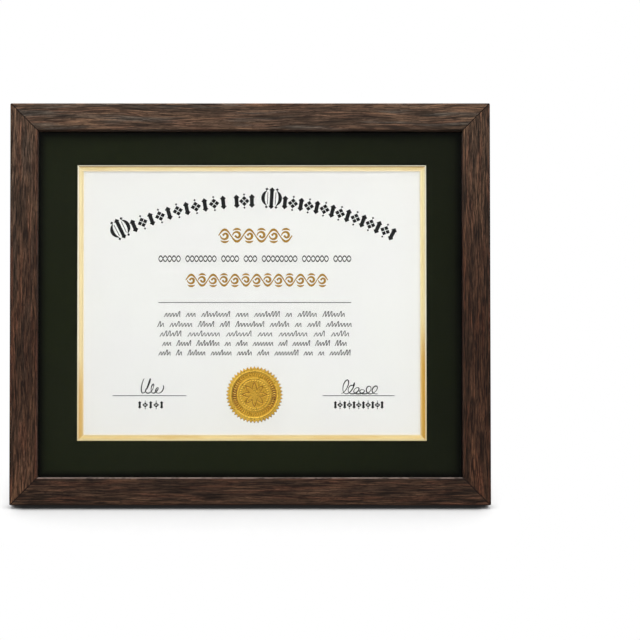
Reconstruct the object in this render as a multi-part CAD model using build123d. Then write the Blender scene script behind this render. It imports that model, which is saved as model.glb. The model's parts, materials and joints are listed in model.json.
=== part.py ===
from build123d import *

import math
import os

# A landscape certificate frame that leans back on its easel leg, in millimetres.
# The pieces are drawn upright, with X to the right as seen from the front, Y from the
# front to the back, Z up from the underside of the bottom rail, and X = 0 in the middle.
# They are then leaned back and stood on the table, with the origin under the middle.

LEAN_DEG = 10.3

# Certificate, a letter sheet, and how far the gold strips cover its edges
PAPER_W = 279.4
PAPER_H = 215.9
PAPER_COVER_W = 3.6
PAPER_COVER_H = 1.5

# Rail section
RAIL_FACE = 22.1
RAIL_D = 21.0
REBATE_W = 6.5
FRONT_EDGE_R = 1.2
SIGHT_EDGE_R = 1.5
BACK_EDGE_R = 0.6
CORNER_R = 1.2
MITRE_GROOVE = 0.35
MITRE_DEG = 45

# Pack in the rebate, from the glass to the back panel
GLASS_T = 2.0
GLASS_CLEAR = 0.1
MAT_T = 1.4
FILLET_T = 2.4
PAPER_T = 0.3
BACKING_T = 3.0
PANEL_T = 3.0
PACK_CLEAR = 0.15
PANEL_CLEAR = 0.5

# Mat: its bevel, and what shows of it between its window and the rails
MAT_BEVEL_W = 1.1
MAT_BORDER_LEFT = 31.6
MAT_BORDER_RIGHT = 28.8
MAT_BORDER_TOP = 27.2
MAT_BORDER_BOTTOM = 29.4

# Gold fillet strips, whose tongues run under the mat
FILLET_SIGHT = 3.8
FILLET_TONGUE = 5.2
FILLET_COVER = 0.4
FILLET_STEP = 0.3
FILLET_FALL = 1.2
FILLET_NOSE_W = 1.0
FILLET_NOSE_RISE = 0.4
FILLET_NOSE_R = 0.35
SPACER_CLEAR = 0.3

# Foil seal, low on the certificate and a little right of its middle
SEAL_TIP_R = 23.1
SEAL_TOOTH = 1.4
SEAL_TEETH = 48
SEAL_T = 0.25
SEAL_DX = 2.1
SEAL_MARGIN = 9.1
SEAL_RINGS = ((20.7, 0.8), (12.8, 0.6))
SEAL_RING_RISE = 0.2

# V-nails across the mitres, two to a corner
V_NAIL_LEG = 5.0
V_NAIL_T = 0.45
V_NAIL_L = 8.0
V_NAIL_PLACES = (4.0, 9.5)

# Turn buttons and their screws
BUTTON_PIVOT = 12.0
BUTTON_REACH = 12.0
BUTTON_HEEL_R = 5.5
BUTTON_TIP_R = 3.5
BUTTON_T = 1.0
BUTTON_GAP = 0.1
SCREW_HEAD_R = 3.0
SCREW_HEAD_H = 1.6
SCREW_SHANK_R = 1.4
SCREW_L = 12.0
SCREW_PLAY = 0.15
SCREW_SLOT_W = 0.8
SCREW_SLOT_DEPTH = 0.8
SCREW_SLOT_L = 3.6

# Sawtooth hangers and their nails
HANGER_L = 45.0
HANGER_W = 9.5
HANGER_T = 1.0
HANGER_FOOT = 8.0
HANGER_RAMP = 2.0
HANGER_RISE = 2.2
HANGER_EDGE = 8.0
HANGER_TOOTH = 1.8
HANGER_TEETH = 9
HANGER_MARGIN = 1.5
NAIL_HEAD_R = 1.8
NAIL_HEAD_H = 0.8
NAIL_SHANK_R = 0.7
NAIL_L = 9.0

# Easel leg, drawn folded down the back and then opened
EASEL_OPEN_DEG = 20.0
HINGE_DROP = 100.0
LEG_T = 2.5
LEG_GAP = 1.1
LEG_TOP_W = 46.0
LEG_FOOT_W = 76.0
LEG_TOP_R = 4.0
LEG_FOOT_R = 6.0
LEG_TOP_GAP = 0.6

# Easel hinge
HINGE_W = 40.0
HINGE_KNUCKLES = 5
KNUCKLE_GAP = 0.3
LEAF_T = 0.8
LEAF_L = 18.0
LEAF_CORNER_R = 2.0
HINGE_CLEAR = 0.25
PIN_PLAY = 0.06
PIN_HEAD_EXTRA = 0.4
PIN_HEAD_T = 0.6
RIVET_HEAD_R = 2.2
RIVET_HEAD_H = 0.7
RIVET_SHANK_R = 1.2
RIVET_SPREAD = 13.0

# Stay ribbon between the panel and the leg, and its eyelets
RIBBON_W = 10.0
RIBBON_T = 0.4
RIBBON_TAB = 12.0
RIBBON_DROP = 140.0
EYELET_R = 3.0
EYELET_T = 0.35
EYELET_SHANK_R = 1.5

# Overrun of every cut past the piece that it cuts
OVERRUN = 1.0

# Sizes that follow
OPENING_W = PAPER_W - 2 * PAPER_COVER_W
OPENING_H = PAPER_H - 2 * PAPER_COVER_H
WINDOW_W = OPENING_W + 2 * (FILLET_SIGHT + MAT_BEVEL_W)
WINDOW_H = OPENING_H + 2 * (FILLET_SIGHT + MAT_BEVEL_W)
WINDOW_DX = (MAT_BORDER_LEFT - MAT_BORDER_RIGHT) / 2
WINDOW_DZ = (MAT_BORDER_BOTTOM - MAT_BORDER_TOP) / 2
SIGHT_W = WINDOW_W + MAT_BORDER_LEFT + MAT_BORDER_RIGHT
SIGHT_H = WINDOW_H + MAT_BORDER_BOTTOM + MAT_BORDER_TOP
FRAME_W = SIGHT_W + 2 * RAIL_FACE
FRAME_H = SIGHT_H + 2 * RAIL_FACE
HINGE_HEIGHT = FRAME_H - HINGE_DROP
PANEL_W = SIGHT_W + 2 * (REBATE_W - PANEL_CLEAR)
PANEL_H = SIGHT_H + 2 * (REBATE_W - PANEL_CLEAR)
RAIL_BACK_W = RAIL_FACE - REBATE_W

PANEL_BACK_Y = RAIL_D - PACK_CLEAR
PANEL_Y = PANEL_BACK_Y - PANEL_T
BACKING_Y = PANEL_Y - BACKING_T
PAPER_Y = BACKING_Y - PAPER_T
FILLET_Y = PAPER_Y - FILLET_T
MAT_Y = FILLET_Y - MAT_T
GLASS_Y = MAT_Y - GLASS_CLEAR - GLASS_T

FILLET_W = FILLET_SIGHT + FILLET_TONGUE
FILLET_OUTER_W = OPENING_W + 2 * FILLET_W
FILLET_OUTER_H = OPENING_H + 2 * FILLET_W

# The knuckles are rolled so that one leaf lies on the panel and the other on the leg
KNUCKLE_R = (LEG_GAP + LEG_T + LEAF_T - HINGE_CLEAR) / 2
AXIS_OFF_PANEL = KNUCKLE_R + HINGE_CLEAR
BORE_R = KNUCKLE_R - LEAF_T
PIN_R = BORE_R - PIN_PLAY
LEG_INNER_Y = LEG_GAP - AXIS_OFF_PANEL
LEG_OUTER_Y = LEG_INNER_Y + LEG_T
LEG_TOP_Z = -(KNUCKLE_R + LEG_TOP_GAP)

# The turn about Y that takes a rail drawn along the bottom to each side of the frame, and
# there the length of the rail and the frame's size across it
SIDE_TURN_DEG = {"bottom": 0, "left": 90, "top": 180, "right": -90}
SIDE_SIZES = {
    "bottom": (FRAME_W, FRAME_H),
    "left": (FRAME_H, FRAME_W),
    "top": (FRAME_W, FRAME_H),
    "right": (FRAME_H, FRAME_W),
}

# Each turn button's side, and its place from the middle of the rail as drawn at the bottom,
# as a share of the rail's length
BUTTON_SHARES = {
    "turn_button_bottom_left": ("bottom", -0.25),
    "turn_button_bottom_right": ("bottom", 0.25),
    "turn_button_left_upper": ("left", -0.25),
    "turn_button_left_lower": ("left", 0.25),
    "turn_button_top_right": ("top", -0.25),
    "turn_button_top_left": ("top", 0.25),
    "turn_button_right_lower": ("right", -0.25),
    "turn_button_right_upper": ("right", 0.25),
}

HANGER_SIDES = {"sawtooth_hanger_top": "top", "sawtooth_hanger_side": "left"}


def outline(corners):
    """A face through corners given as (x, y, radius)."""
    points = [(x, y) for x, y, _ in corners]
    radii = [radius for _, _, radius in corners]
    return make_face(FilletPolyline(*points, radius=radii, close=True))


def slab(face, front, thickness):
    """The face, drawn in X and Z, as a board with its front at depth front."""
    return Pos(0, front + thickness, 0) * extrude(Plane.XZ * face, thickness)


def board(width, height, front, thickness):
    """A plain board centred on the frame."""
    return slab(Pos(0, FRAME_H / 2) * Rectangle(width, height), front, thickness)


def on_side(side):
    """Takes what is drawn on the bottom rail, from its outer face up, to a side."""
    _, across = SIDE_SIZES[side]
    return Pos(0, 0, FRAME_H / 2) * Rot(0, SIDE_TURN_DEG[side], 0) * Pos(0, 0, -across / 2)


def in_window():
    """Takes what is drawn about the window's centre in X and Z to its place."""
    return Pos(WINDOW_DX, 0, FRAME_H / 2 + WINDOW_DZ)


def headed(head_r, head_h, shank_r, shank_l):
    """A domed fastener along Y: its head stands out behind Y = 0, its shank goes in."""
    head = extrude(Circle(head_r), head_h)
    head = fillet(head.edges().sort_by(Axis.Z)[-1], head_h / 2)
    shank = extrude(Circle(shank_r), -shank_l)
    return Rot(-90, 0, 0) * (head + shank)


def mitred(section, length, width):
    """A strip along X with a section in Y and Z, cut at 45 degrees at both ends."""
    strip = extrude(Plane.YZ * section, length / 2, both=True)
    low = -OVERRUN
    high = width + OVERRUN
    keep = Polygon(
        (-(length / 2 - low), low),
        (length / 2 - low, low),
        (length / 2 - high, high),
        (-(length / 2 - high), high),
        align=None,
    )
    depth = RAIL_D + 2 * OVERRUN
    return strip & slab(keep, -OVERRUN, depth)


def rail_section():
    """Front at Y = 0, outer face at Z = 0, with the rebate at the back of the sight edge."""
    return outline([
        (0, 0, FRONT_EDGE_R),
        (RAIL_D, 0, BACK_EDGE_R),
        (RAIL_D, RAIL_BACK_W, 0),
        (GLASS_Y, RAIL_BACK_W, 0),
        (GLASS_Y, RAIL_FACE, 0),
        (0, RAIL_FACE, SIGHT_EDGE_R),
    ])


def mitre_groove(length, end):
    """The fine V along the front of a mitre, where the eased edges of two rails meet."""
    across = RAIL_FACE / math.cos(math.radians(MITRE_DEG)) + 2 * OVERRUN
    bar = Rot(45, 0, 0) * Box(across, MITRE_GROOVE, MITRE_GROOVE)
    middle = Pos(end * (length - RAIL_FACE) / 2, 0, RAIL_FACE / 2)
    return middle * Rot(0, end * MITRE_DEG, 0) * bar


def corner_waste(length, end):
    """What the rounding of the frame's corner takes off one end of a rail."""
    reach = CORNER_R + OVERRUN
    block = Pos(end * reach / 2, -reach / 2) * Rectangle(reach, reach)
    waste = Pos(end * (length / 2 - CORNER_R), CORNER_R) * (block - Circle(CORNER_R))
    return slab(waste, -OVERRUN, RAIL_D + 2 * OVERRUN)


def rail(side, fasteners):
    """One rail, with the corners of the frame rounded and its fasteners' holes."""
    length, _ = SIDE_SIZES[side]
    drawn = mitred(rail_section(), length, RAIL_FACE)
    for end in (-1, 1):
        drawn -= [mitre_groove(length, end), corner_waste(length, end)]
    return on_side(side) * drawn - fasteners


def v_nails():
    """Bent steel strips driven in from the back, each across a mitre."""
    nails = []
    for left in (-1, 1):
        for low in (-1, 1):
            for place in V_NAIL_PLACES:
                corner_x = left * (FRAME_W / 2 - place)
                corner_z = FRAME_H / 2 + low * (FRAME_H / 2 - place)
                leg_x = Pos(-left * V_NAIL_LEG / 2, -low * V_NAIL_T / 2) * Rectangle(V_NAIL_LEG, V_NAIL_T)
                leg_z = Pos(-left * V_NAIL_T / 2, -low * V_NAIL_LEG / 2) * Rectangle(V_NAIL_T, V_NAIL_LEG)
                section = Pos(corner_x, corner_z) * (leg_x + leg_z)
                nails.append(slab(section, RAIL_D - V_NAIL_L, V_NAIL_L))
    return nails


def top_mat():
    """Mat board whose window is cut on a bevel, wider at the front."""
    centre = Pos(WINDOW_DX, FRAME_H / 2 + WINDOW_DZ)
    slope = MAT_BEVEL_W / MAT_T
    cut_planes = []
    for depth in (-OVERRUN, MAT_T + OVERRUN):
        width = WINDOW_W - 2 * slope * depth
        height = WINDOW_H - 2 * slope * depth
        face = Plane.XZ * (centre * Rectangle(width, height))
        cut_planes.append(Pos(0, MAT_Y + depth, 0) * face)
    return board(PANEL_W, PANEL_H, MAT_Y, MAT_T) - loft(cut_planes)


def fillet_section():
    """A tongue under the mat, a face that falls inwards, and a round nose at the sight."""
    step_z = FILLET_TONGUE - FILLET_COVER
    nose_z = FILLET_W - FILLET_NOSE_W
    face_low = FILLET_Y + FILLET_STEP + FILLET_FALL
    nose_top = face_low - FILLET_NOSE_RISE
    return outline([
        (FILLET_Y, 0, 0),
        (PAPER_Y, 0, 0),
        (PAPER_Y, FILLET_W, 0),
        (nose_top, FILLET_W, FILLET_NOSE_R),
        (nose_top, nose_z, FILLET_NOSE_R),
        (face_low, nose_z - FILLET_NOSE_RISE, 0),
        (FILLET_Y + FILLET_STEP, step_z, 0),
        (FILLET_Y, step_z, 0),
    ])


def gold_fillet(side):
    """One strip of the gold border round the opening."""
    upright = side in ("left", "right")
    length = FILLET_OUTER_H if upright else FILLET_OUTER_W
    across = FILLET_OUTER_W if upright else FILLET_OUTER_H
    strip = mitred(fillet_section(), length, FILLET_W)
    return in_window() * Rot(0, SIDE_TURN_DEG[side], 0) * Pos(0, 0, -across / 2) * strip


def mat_spacer():
    """Board round the gold strips, as thick as they are."""
    hole_w = FILLET_OUTER_W + 2 * SPACER_CLEAR
    hole_h = FILLET_OUTER_H + 2 * SPACER_CLEAR
    sheet = board(PANEL_W, PANEL_H, FILLET_Y, FILLET_T)
    hole = slab(Rectangle(hole_w, hole_h), FILLET_Y - OVERRUN, FILLET_T + 2 * OVERRUN)
    return sheet - in_window() * hole


def certificate():
    """The paper sheet behind the opening."""
    return in_window() * slab(Rectangle(PAPER_W, PAPER_H), PAPER_Y, PAPER_T)


def foil_seal():
    """A serrated disc with two raised rings, stuck on the front of the certificate."""
    root_r = SEAL_TIP_R - SEAL_TOOTH
    points = []
    for step in range(2 * SEAL_TEETH):
        radius = root_r if step % 2 else SEAL_TIP_R
        angle = math.pi * step / SEAL_TEETH
        points.append((radius * math.cos(angle), radius * math.sin(angle)))
    seal = slab(Polygon(*points, align=None), PAPER_Y - SEAL_T, SEAL_T)
    for radius, width in SEAL_RINGS:
        ring = Circle(radius) - Circle(radius - width)
        seal += slab(ring, PAPER_Y - SEAL_T - SEAL_RING_RISE, SEAL_T + SEAL_RING_RISE)
    return in_window() * Pos(SEAL_DX, 0, SEAL_MARGIN + SEAL_TIP_R - OPENING_H / 2) * seal


def button_place(name):
    """Where a turn button's screw axis meets the back of its rail."""
    side, share = BUTTON_SHARES[name]
    length, _ = SIDE_SIZES[side]
    return on_side(side) * Pos(share * length, RAIL_D, BUTTON_PIVOT)


def turn_button(name):
    """A flat teardrop plate that reaches from its screw over the back panel."""
    heel = Circle(BUTTON_HEEL_R)
    tip = Pos(0, BUTTON_REACH - BUTTON_TIP_R) * Circle(BUTTON_TIP_R)
    plate = make_hull([*heel.edges(), *tip.edges()])
    plate -= Circle(SCREW_SHANK_R + SCREW_PLAY)
    return button_place(name) * slab(plate, BUTTON_GAP, BUTTON_T)


def button_screw(name):
    """A pan-head screw with a cross recess; the button turns under its head."""
    seat = BUTTON_T + 2 * BUTTON_GAP
    screw = headed(SCREW_HEAD_R, SCREW_HEAD_H, SCREW_SHANK_R, SCREW_L + seat)
    slot_y = SCREW_HEAD_H - SCREW_SLOT_DEPTH / 2 + OVERRUN / 2
    slot_depth = SCREW_SLOT_DEPTH + OVERRUN
    for turn in (45, -45):
        slot = Box(SCREW_SLOT_L, slot_depth, SCREW_SLOT_W)
        screw -= Pos(0, slot_y, 0) * Rot(0, turn, 0) * slot
    return button_place(name) * Pos(0, seat, 0) * screw


def hanger_plate():
    """A strip with flat feet and a raised middle, whose inner edge is cut into teeth."""
    half = HANGER_L / 2
    foot = half - HANGER_FOOT
    raised = foot - HANGER_RAMP
    top = HANGER_RISE + HANGER_T
    section = Polygon(
        (-half, 0), (-foot, 0), (-raised, HANGER_RISE), (raised, HANGER_RISE), (foot, 0), (half, 0),
        (half, HANGER_T), (foot, HANGER_T), (raised, top), (-raised, top), (-foot, HANGER_T),
        (-half, HANGER_T),
        align=None,
    )
    strip = extrude(section, HANGER_W)
    pitch = 2 * (raised - HANGER_MARGIN) / HANGER_TEETH
    for index in range(HANGER_TEETH):
        middle = (index - (HANGER_TEETH - 1) / 2) * pitch
        tooth = Polygon(
            (middle - pitch / 2, HANGER_W),
            (middle, HANGER_W - HANGER_TOOTH),
            (middle + pitch / 2, HANGER_W),
            align=None,
        )
        strip -= slab(tooth, HANGER_RISE - OVERRUN, HANGER_T + 2 * OVERRUN)
    return strip


def hanger_nails(side):
    """The two nails of one hanger."""
    nails = []
    for end in (-1, 1):
        along = end * (HANGER_L - HANGER_FOOT) / 2
        nail = headed(NAIL_HEAD_R, NAIL_HEAD_H, NAIL_SHANK_R, NAIL_L + HANGER_T)
        place = Pos(along, RAIL_D + HANGER_T, HANGER_EDGE)
        nails.append(on_side(side) * place * nail)
    return nails


def hanger(side, nails):
    """One hanger on the back of its rail, with holes for its nails."""
    place = Pos(0, RAIL_D, HANGER_EDGE - HANGER_W / 2)
    return on_side(side) * place * hanger_plate() - nails


def at_hinge():
    """Takes what is drawn about the hinge pin's axis to the back of the panel."""
    return Pos(0, PANEL_BACK_Y + AXIS_OFF_PANEL, HINGE_HEIGHT)


def opened():
    """Takes what is drawn with the leg folded to its open place."""
    return at_hinge() * Rot(EASEL_OPEN_DEG, 0, 0)


def leg_length():
    """From the pin's axis to the foot, so that the foot meets the table."""
    lean = math.radians(LEAN_DEG)
    splay = math.radians(EASEL_OPEN_DEG - LEAN_DEG)
    pin_y = PANEL_BACK_Y + AXIS_OFF_PANEL
    pin_level = HINGE_HEIGHT * math.cos(lean) - pin_y * math.sin(lean)
    edge_y = RAIL_D - BACK_EDGE_R
    edge_level = BACK_EDGE_R * math.cos(lean) - edge_y * math.sin(lean) - BACK_EDGE_R
    drop = pin_level - edge_level
    return (drop + LEG_INNER_Y * math.sin(splay)) / math.cos(splay)


def knuckles(owner):
    """The X ranges of the knuckles of one leaf: 0 is the panel's, 1 is the leg's."""
    pitch = (HINGE_W + KNUCKLE_GAP) / HINGE_KNUCKLES
    starts = [-HINGE_W / 2 + pitch * index for index in range(owner, HINGE_KNUCKLES, 2)]
    return [(start, start + pitch - KNUCKLE_GAP) for start in starts]


def hinge_leaf(owner, plate_y, direction):
    """A stamped leaf: a plate, its rolled knuckles, and the tabs that join them."""
    plate_start = KNUCKLE_R + LEG_TOP_GAP
    plate_end = plate_start + LEAF_L
    middle = direction * (plate_start + plate_end) / 2
    plate = Pos(0, middle) * RectangleRounded(HINGE_W, LEAF_L, LEAF_CORNER_R)
    leaf = slab(plate, plate_y, LEAF_T)
    for start, end in knuckles(owner):
        width = end - start
        reach = plate_start + LEAF_CORNER_R
        tab = Pos((start + end) / 2, direction * reach / 2) * Rectangle(width, reach)
        roll = Pos(start, 0, 0) * extrude(Plane.YZ * Circle(KNUCKLE_R), width)
        leaf += [slab(tab, plate_y, LEAF_T), roll]
    bore = extrude(Plane.YZ * Circle(BORE_R), HINGE_W / 2 + OVERRUN, both=True)
    return leaf - bore


def hinge_pin():
    """The pin, with a small head peened over at each end."""
    pin = extrude(Plane.YZ * Circle(PIN_R), HINGE_W / 2, both=True)
    for end in (-1, 1):
        head = extrude(Plane.YZ * Circle(PIN_R + PIN_HEAD_EXTRA), end * PIN_HEAD_T)
        pin += Pos(end * HINGE_W / 2, 0, 0) * head
    return at_hinge() * pin


def rivets(leaf_face_y, board_face_y, direction):
    """Three rivets through a leaf and the board under it."""
    row_z = direction * (KNUCKLE_R + LEG_TOP_GAP + LEAF_L / 2)
    shank_l = leaf_face_y - board_face_y
    rivet = headed(RIVET_HEAD_R, RIVET_HEAD_H, RIVET_SHANK_R, shank_l)
    return [Pos(step * RIVET_SPREAD, leaf_face_y, row_z) * rivet for step in (-1, 0, 1)]


def easel_leg_board(length):
    """The leg folded flat: narrow at the hinge and flared to a wide foot."""
    corners = [
        (-LEG_TOP_W / 2, LEG_TOP_Z, LEG_TOP_R),
        (LEG_TOP_W / 2, LEG_TOP_Z, LEG_TOP_R),
        (LEG_FOOT_W / 2, -length, LEG_FOOT_R),
        (-LEG_FOOT_W / 2, -length, LEG_FOOT_R),
    ]
    return slab(outline(corners), LEG_INNER_Y, LEG_T)


def ribbon_route():
    """The ribbon's middle line in Y and Z about the pin: down the panel, across, down the leg."""
    panel_y = RIBBON_T / 2 - AXIS_OFF_PANEL
    leg_y = LEG_INNER_Y - RIBBON_T / 2
    turn = Rot(EASEL_OPEN_DEG, 0, 0)
    on_leg = [turn * Pos(0, leg_y, -(RIBBON_DROP + down)) for down in (0, RIBBON_TAB)]
    across = [(place.position.Y, place.position.Z) for place in on_leg]
    return [(panel_y, RIBBON_TAB - RIBBON_DROP), (panel_y, -RIBBON_DROP), *across]


def stay_ribbon(eyelets):
    """The taut ribbon, with its two ends lying flat under the eyelets."""
    route = ribbon_route()
    band = Part()
    for (y_a, z_a), (y_b, z_b) in zip(route, route[1:]):
        run = math.hypot(y_b - y_a, z_b - z_a)
        slope = math.degrees(math.atan2(z_b - z_a, y_b - y_a))
        strip = Rot(slope, 0, 0) * Box(RIBBON_W, run, RIBBON_T)
        band += Pos(0, (y_a + y_b) / 2, (z_a + z_b) / 2) * strip
    for y_bend, z_bend in route[1:-1]:
        roll = extrude(Plane.YZ * Circle(RIBBON_T / 2), RIBBON_W / 2, both=True)
        band += Pos(0, y_bend, z_bend) * roll
    return at_hinge() * band - eyelets


def panel_eyelet():
    """Holds the ribbon's upper end to the back panel."""
    face_y = RIBBON_T - AXIS_OFF_PANEL
    eyelet = headed(EYELET_R, EYELET_T, EYELET_SHANK_R, RIBBON_T + PANEL_T)
    return at_hinge() * Pos(0, face_y, RIBBON_TAB / 2 - RIBBON_DROP) * eyelet


def leg_eyelet():
    """Holds the ribbon's lower end to the inner face of the leg."""
    face_y = LEG_INNER_Y - RIBBON_T
    eyelet = Rot(180, 0, 0) * headed(EYELET_R, EYELET_T, EYELET_SHANK_R, RIBBON_T + LEG_T)
    return opened() * Pos(0, face_y, -(RIBBON_DROP + RIBBON_TAB / 2)) * eyelet


def upright_pieces():
    """Every piece, drawn upright, by name."""
    screws = [button_screw(name) for name in BUTTON_SHARES]
    nails = {side: hanger_nails(side) for side in HANGER_SIDES.values()}
    all_nails = [nail for pair in nails.values() for nail in pair]
    corners = v_nails()
    in_wood = screws + all_nails + corners

    panel_front_y = -AXIS_OFF_PANEL - PANEL_T
    through_panel = rivets(LEAF_T - AXIS_OFF_PANEL, panel_front_y, 1)
    through_leg = rivets(KNUCKLE_R, LEG_INNER_Y, -1)
    panel_rivets = [at_hinge() * rivet for rivet in through_panel]
    leg_rivets = [opened() * rivet for rivet in through_leg]
    eyelets = [panel_eyelet(), leg_eyelet()]

    pieces = {f"rail_{side}": rail(side, in_wood) for side in SIDE_SIZES}
    pieces["corner_v_nails"] = Compound(corners)
    pieces["glass_pane"] = board(PANEL_W, PANEL_H, GLASS_Y, GLASS_T)
    pieces["top_mat"] = top_mat()
    for side in SIDE_SIZES:
        pieces[f"gold_fillet_{side}"] = gold_fillet(side)
    pieces["mat_spacer"] = mat_spacer()
    pieces["certificate"] = certificate()
    pieces["foil_seal"] = foil_seal()
    pieces["backing_board"] = board(PANEL_W, PANEL_H, BACKING_Y, BACKING_T)
    panel = board(PANEL_W, PANEL_H, PANEL_Y, PANEL_T)
    pieces["back_panel"] = panel - panel_rivets - eyelets[0]

    for name in BUTTON_SHARES:
        pieces[name] = turn_button(name)
    pieces["turn_button_screws"] = Compound(screws)
    for name, side in HANGER_SIDES.items():
        pieces[name] = hanger(side, nails[side])
    pieces["hanger_nails"] = Compound(all_nails)

    leg = opened() * easel_leg_board(leg_length())
    pieces["easel_leg"] = leg - leg_rivets - eyelets[1]
    panel_leaf = at_hinge() * hinge_leaf(0, -AXIS_OFF_PANEL, 1)
    leg_leaf = opened() * hinge_leaf(1, LEG_OUTER_Y, -1)
    pieces["hinge_leaf_panel"] = panel_leaf - panel_rivets
    pieces["hinge_leaf_leg"] = leg_leaf - leg_rivets
    pieces["hinge_pin"] = hinge_pin()
    pieces["panel_rivets"] = Compound(panel_rivets)
    pieces["leg_rivets"] = Compound(leg_rivets)
    pieces["stay_ribbon"] = stay_ribbon(eyelets)
    pieces["ribbon_eyelet_panel"] = eyelets[0]
    pieces["ribbon_eyelet_leg"] = eyelets[1]
    return pieces


def standing(pieces):
    """The move that leans the frame back and stands it with the origin under its middle."""
    lean = Rot(-LEAN_DEG, 0, 0)
    box = Compound([lean * piece for piece in pieces.values()]).bounding_box()
    middle = box.center()
    return Pos(-middle.X, -middle.Y, -box.min.Z) * lean


def main():
    pieces = upright_pieces()
    stand = standing(pieces)
    os.makedirs("parts", exist_ok=True)
    for name, piece in pieces.items():
        export_step(stand * piece, f"parts/{name}.step")
    print("hinge pin", (stand * at_hinge()).position)
    for name in BUTTON_SHARES:
        print(name, (stand * button_place(name)).position)


if __name__ == "__main__":
    main()
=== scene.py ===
import json
import math
import random

import bpy
from mathutils import Matrix, Vector


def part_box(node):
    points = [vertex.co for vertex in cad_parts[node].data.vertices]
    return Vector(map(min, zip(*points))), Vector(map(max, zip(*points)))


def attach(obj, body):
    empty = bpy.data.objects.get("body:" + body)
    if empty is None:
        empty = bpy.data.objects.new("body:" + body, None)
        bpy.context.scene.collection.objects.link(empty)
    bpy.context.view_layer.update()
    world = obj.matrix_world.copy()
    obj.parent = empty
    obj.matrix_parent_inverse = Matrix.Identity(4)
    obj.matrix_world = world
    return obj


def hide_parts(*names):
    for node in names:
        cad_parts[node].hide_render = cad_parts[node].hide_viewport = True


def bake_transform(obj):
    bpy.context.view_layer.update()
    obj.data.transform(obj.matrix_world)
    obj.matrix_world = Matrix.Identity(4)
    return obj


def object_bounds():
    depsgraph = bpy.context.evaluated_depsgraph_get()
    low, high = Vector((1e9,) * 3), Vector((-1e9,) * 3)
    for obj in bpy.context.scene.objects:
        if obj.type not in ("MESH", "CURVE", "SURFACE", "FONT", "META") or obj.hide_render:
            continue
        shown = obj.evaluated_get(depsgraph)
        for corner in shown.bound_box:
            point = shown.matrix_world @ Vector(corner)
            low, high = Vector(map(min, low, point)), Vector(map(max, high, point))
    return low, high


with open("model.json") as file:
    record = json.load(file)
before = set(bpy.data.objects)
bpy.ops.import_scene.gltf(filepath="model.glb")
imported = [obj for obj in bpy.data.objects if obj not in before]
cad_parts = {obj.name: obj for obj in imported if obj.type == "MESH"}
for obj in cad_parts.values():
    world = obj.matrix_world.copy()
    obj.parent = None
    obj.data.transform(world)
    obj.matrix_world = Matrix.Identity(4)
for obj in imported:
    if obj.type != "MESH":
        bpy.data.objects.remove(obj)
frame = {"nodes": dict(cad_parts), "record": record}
cad_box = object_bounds()

MM = 0.001
NODES = frame["nodes"]

# Photograph, in pixels: its width, and the middle of the frame in it
PHOTO_W = 640
FRAME_MIDDLE_X = 250.15

# Camera: its sensor in millimetres, the width in its view, its distance and height angle, and
# how far it aims below the middle
SENSOR = 36.0
VIEW_W = 514.5 * MM
CAMERA_DISTANCE = 1.98
CAMERA_ELEVATION_DEG = 8.5
AIM_DROP = 13.1 * MM


# Places

def mount(name):
    """One of the record's mounts."""
    return next(entry for entry in frame["record"]["mounts"] if entry["name"] == name)


def leaned_axes():
    """The frame's own axes: X across, Y from front to back, Z up, from under its middle."""
    underside = mount("bottom_edge")
    up = -Vector(underside["axis"])
    across = Vector((1, 0, 0))
    axes = Matrix((across, up.cross(across), up)).transposed().to_4x4()
    axes.translation = underside["pos_m"]
    return axes


LEANED = leaned_axes()


def box_along(axes, node):
    """The lowest and highest corners of a node along some axes."""
    places = [axes.inverted() @ vertex.co for vertex in NODES[node].data.vertices]
    low = Vector([min(place[axis] for place in places) for axis in range(3)])
    high = Vector([max(place[axis] for place in places) for axis in range(3)])
    return low, high


BOTTOM_LOW, BOTTOM_HIGH = box_along(LEANED, "rail_bottom")
_, TOP_HIGH = box_along(LEANED, "rail_top")
SHEET_LOW, SHEET_HIGH = box_along(LEANED, "certificate")
SEAL_LOW, SEAL_HIGH = box_along(LEANED, "foil_seal")
RAIL_FACE = BOTTOM_HIGH.z - BOTTOM_LOW.z
FRAME_W = BOTTOM_HIGH.x - BOTTOM_LOW.x
FRAME_H = TOP_HIGH.z - BOTTOM_LOW.z

# The turn about Y that takes what is drawn on the bottom rail to each side
SIDE_TURN_DEG = {"bottom": 0, "left": 90, "top": 180, "right": -90}


def side_sizes(side):
    """The length of a side's rail, and the frame's size across it."""
    return (FRAME_H, FRAME_W) if side in ("left", "right") else (FRAME_W, FRAME_H)


def on_side(side):
    """The axes of one rail: X along it, Y from front to back, Z from its outer face in."""
    _, across = side_sizes(side)
    middle = Matrix.Translation((0, 0, FRAME_H / 2))
    turn = Matrix.Rotation(math.radians(SIDE_TURN_DEG[side]), 4, "Y")
    return LEANED @ middle @ turn @ Matrix.Translation((0, 0, -across / 2))


# Shader helpers

WHITE = (1, 1, 1, 1)
SEED_STEPS = (7.3, 3.1, 5.7)
# The part of its range that a noise fills
FULL_NOISE = (0.3, 0.7)


def linear(colour):
    """A colour given as 0 to 255 in sRGB, as the linear colour that a shader takes."""
    parts = [value / 255 for value in colour]
    parts = [part / 12.92 if part <= 0.04045 else ((part + 0.055) / 1.055) ** 2.4 for part in parts]
    return (*parts, 1)


def shade(colour, tone):
    """A colour times a tone, as a shader takes it."""
    return [part * tone for part in linear(colour)]


def put(tree, socket, value):
    """Sets a socket to a value, or links it to another socket."""
    if isinstance(value, bpy.types.NodeSocket):
        tree.links.new(value, socket)
    else:
        socket.default_value = value


def add(tree, kind, inputs=None, **settings):
    """A node, with its settings, and its inputs set or linked by name or number."""
    node = tree.nodes.new("ShaderNode" + kind)
    for name, value in settings.items():
        setattr(node, name, value)
    for name, value in (inputs or {}).items():
        put(tree, node.inputs[name], value)
    return node


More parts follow.
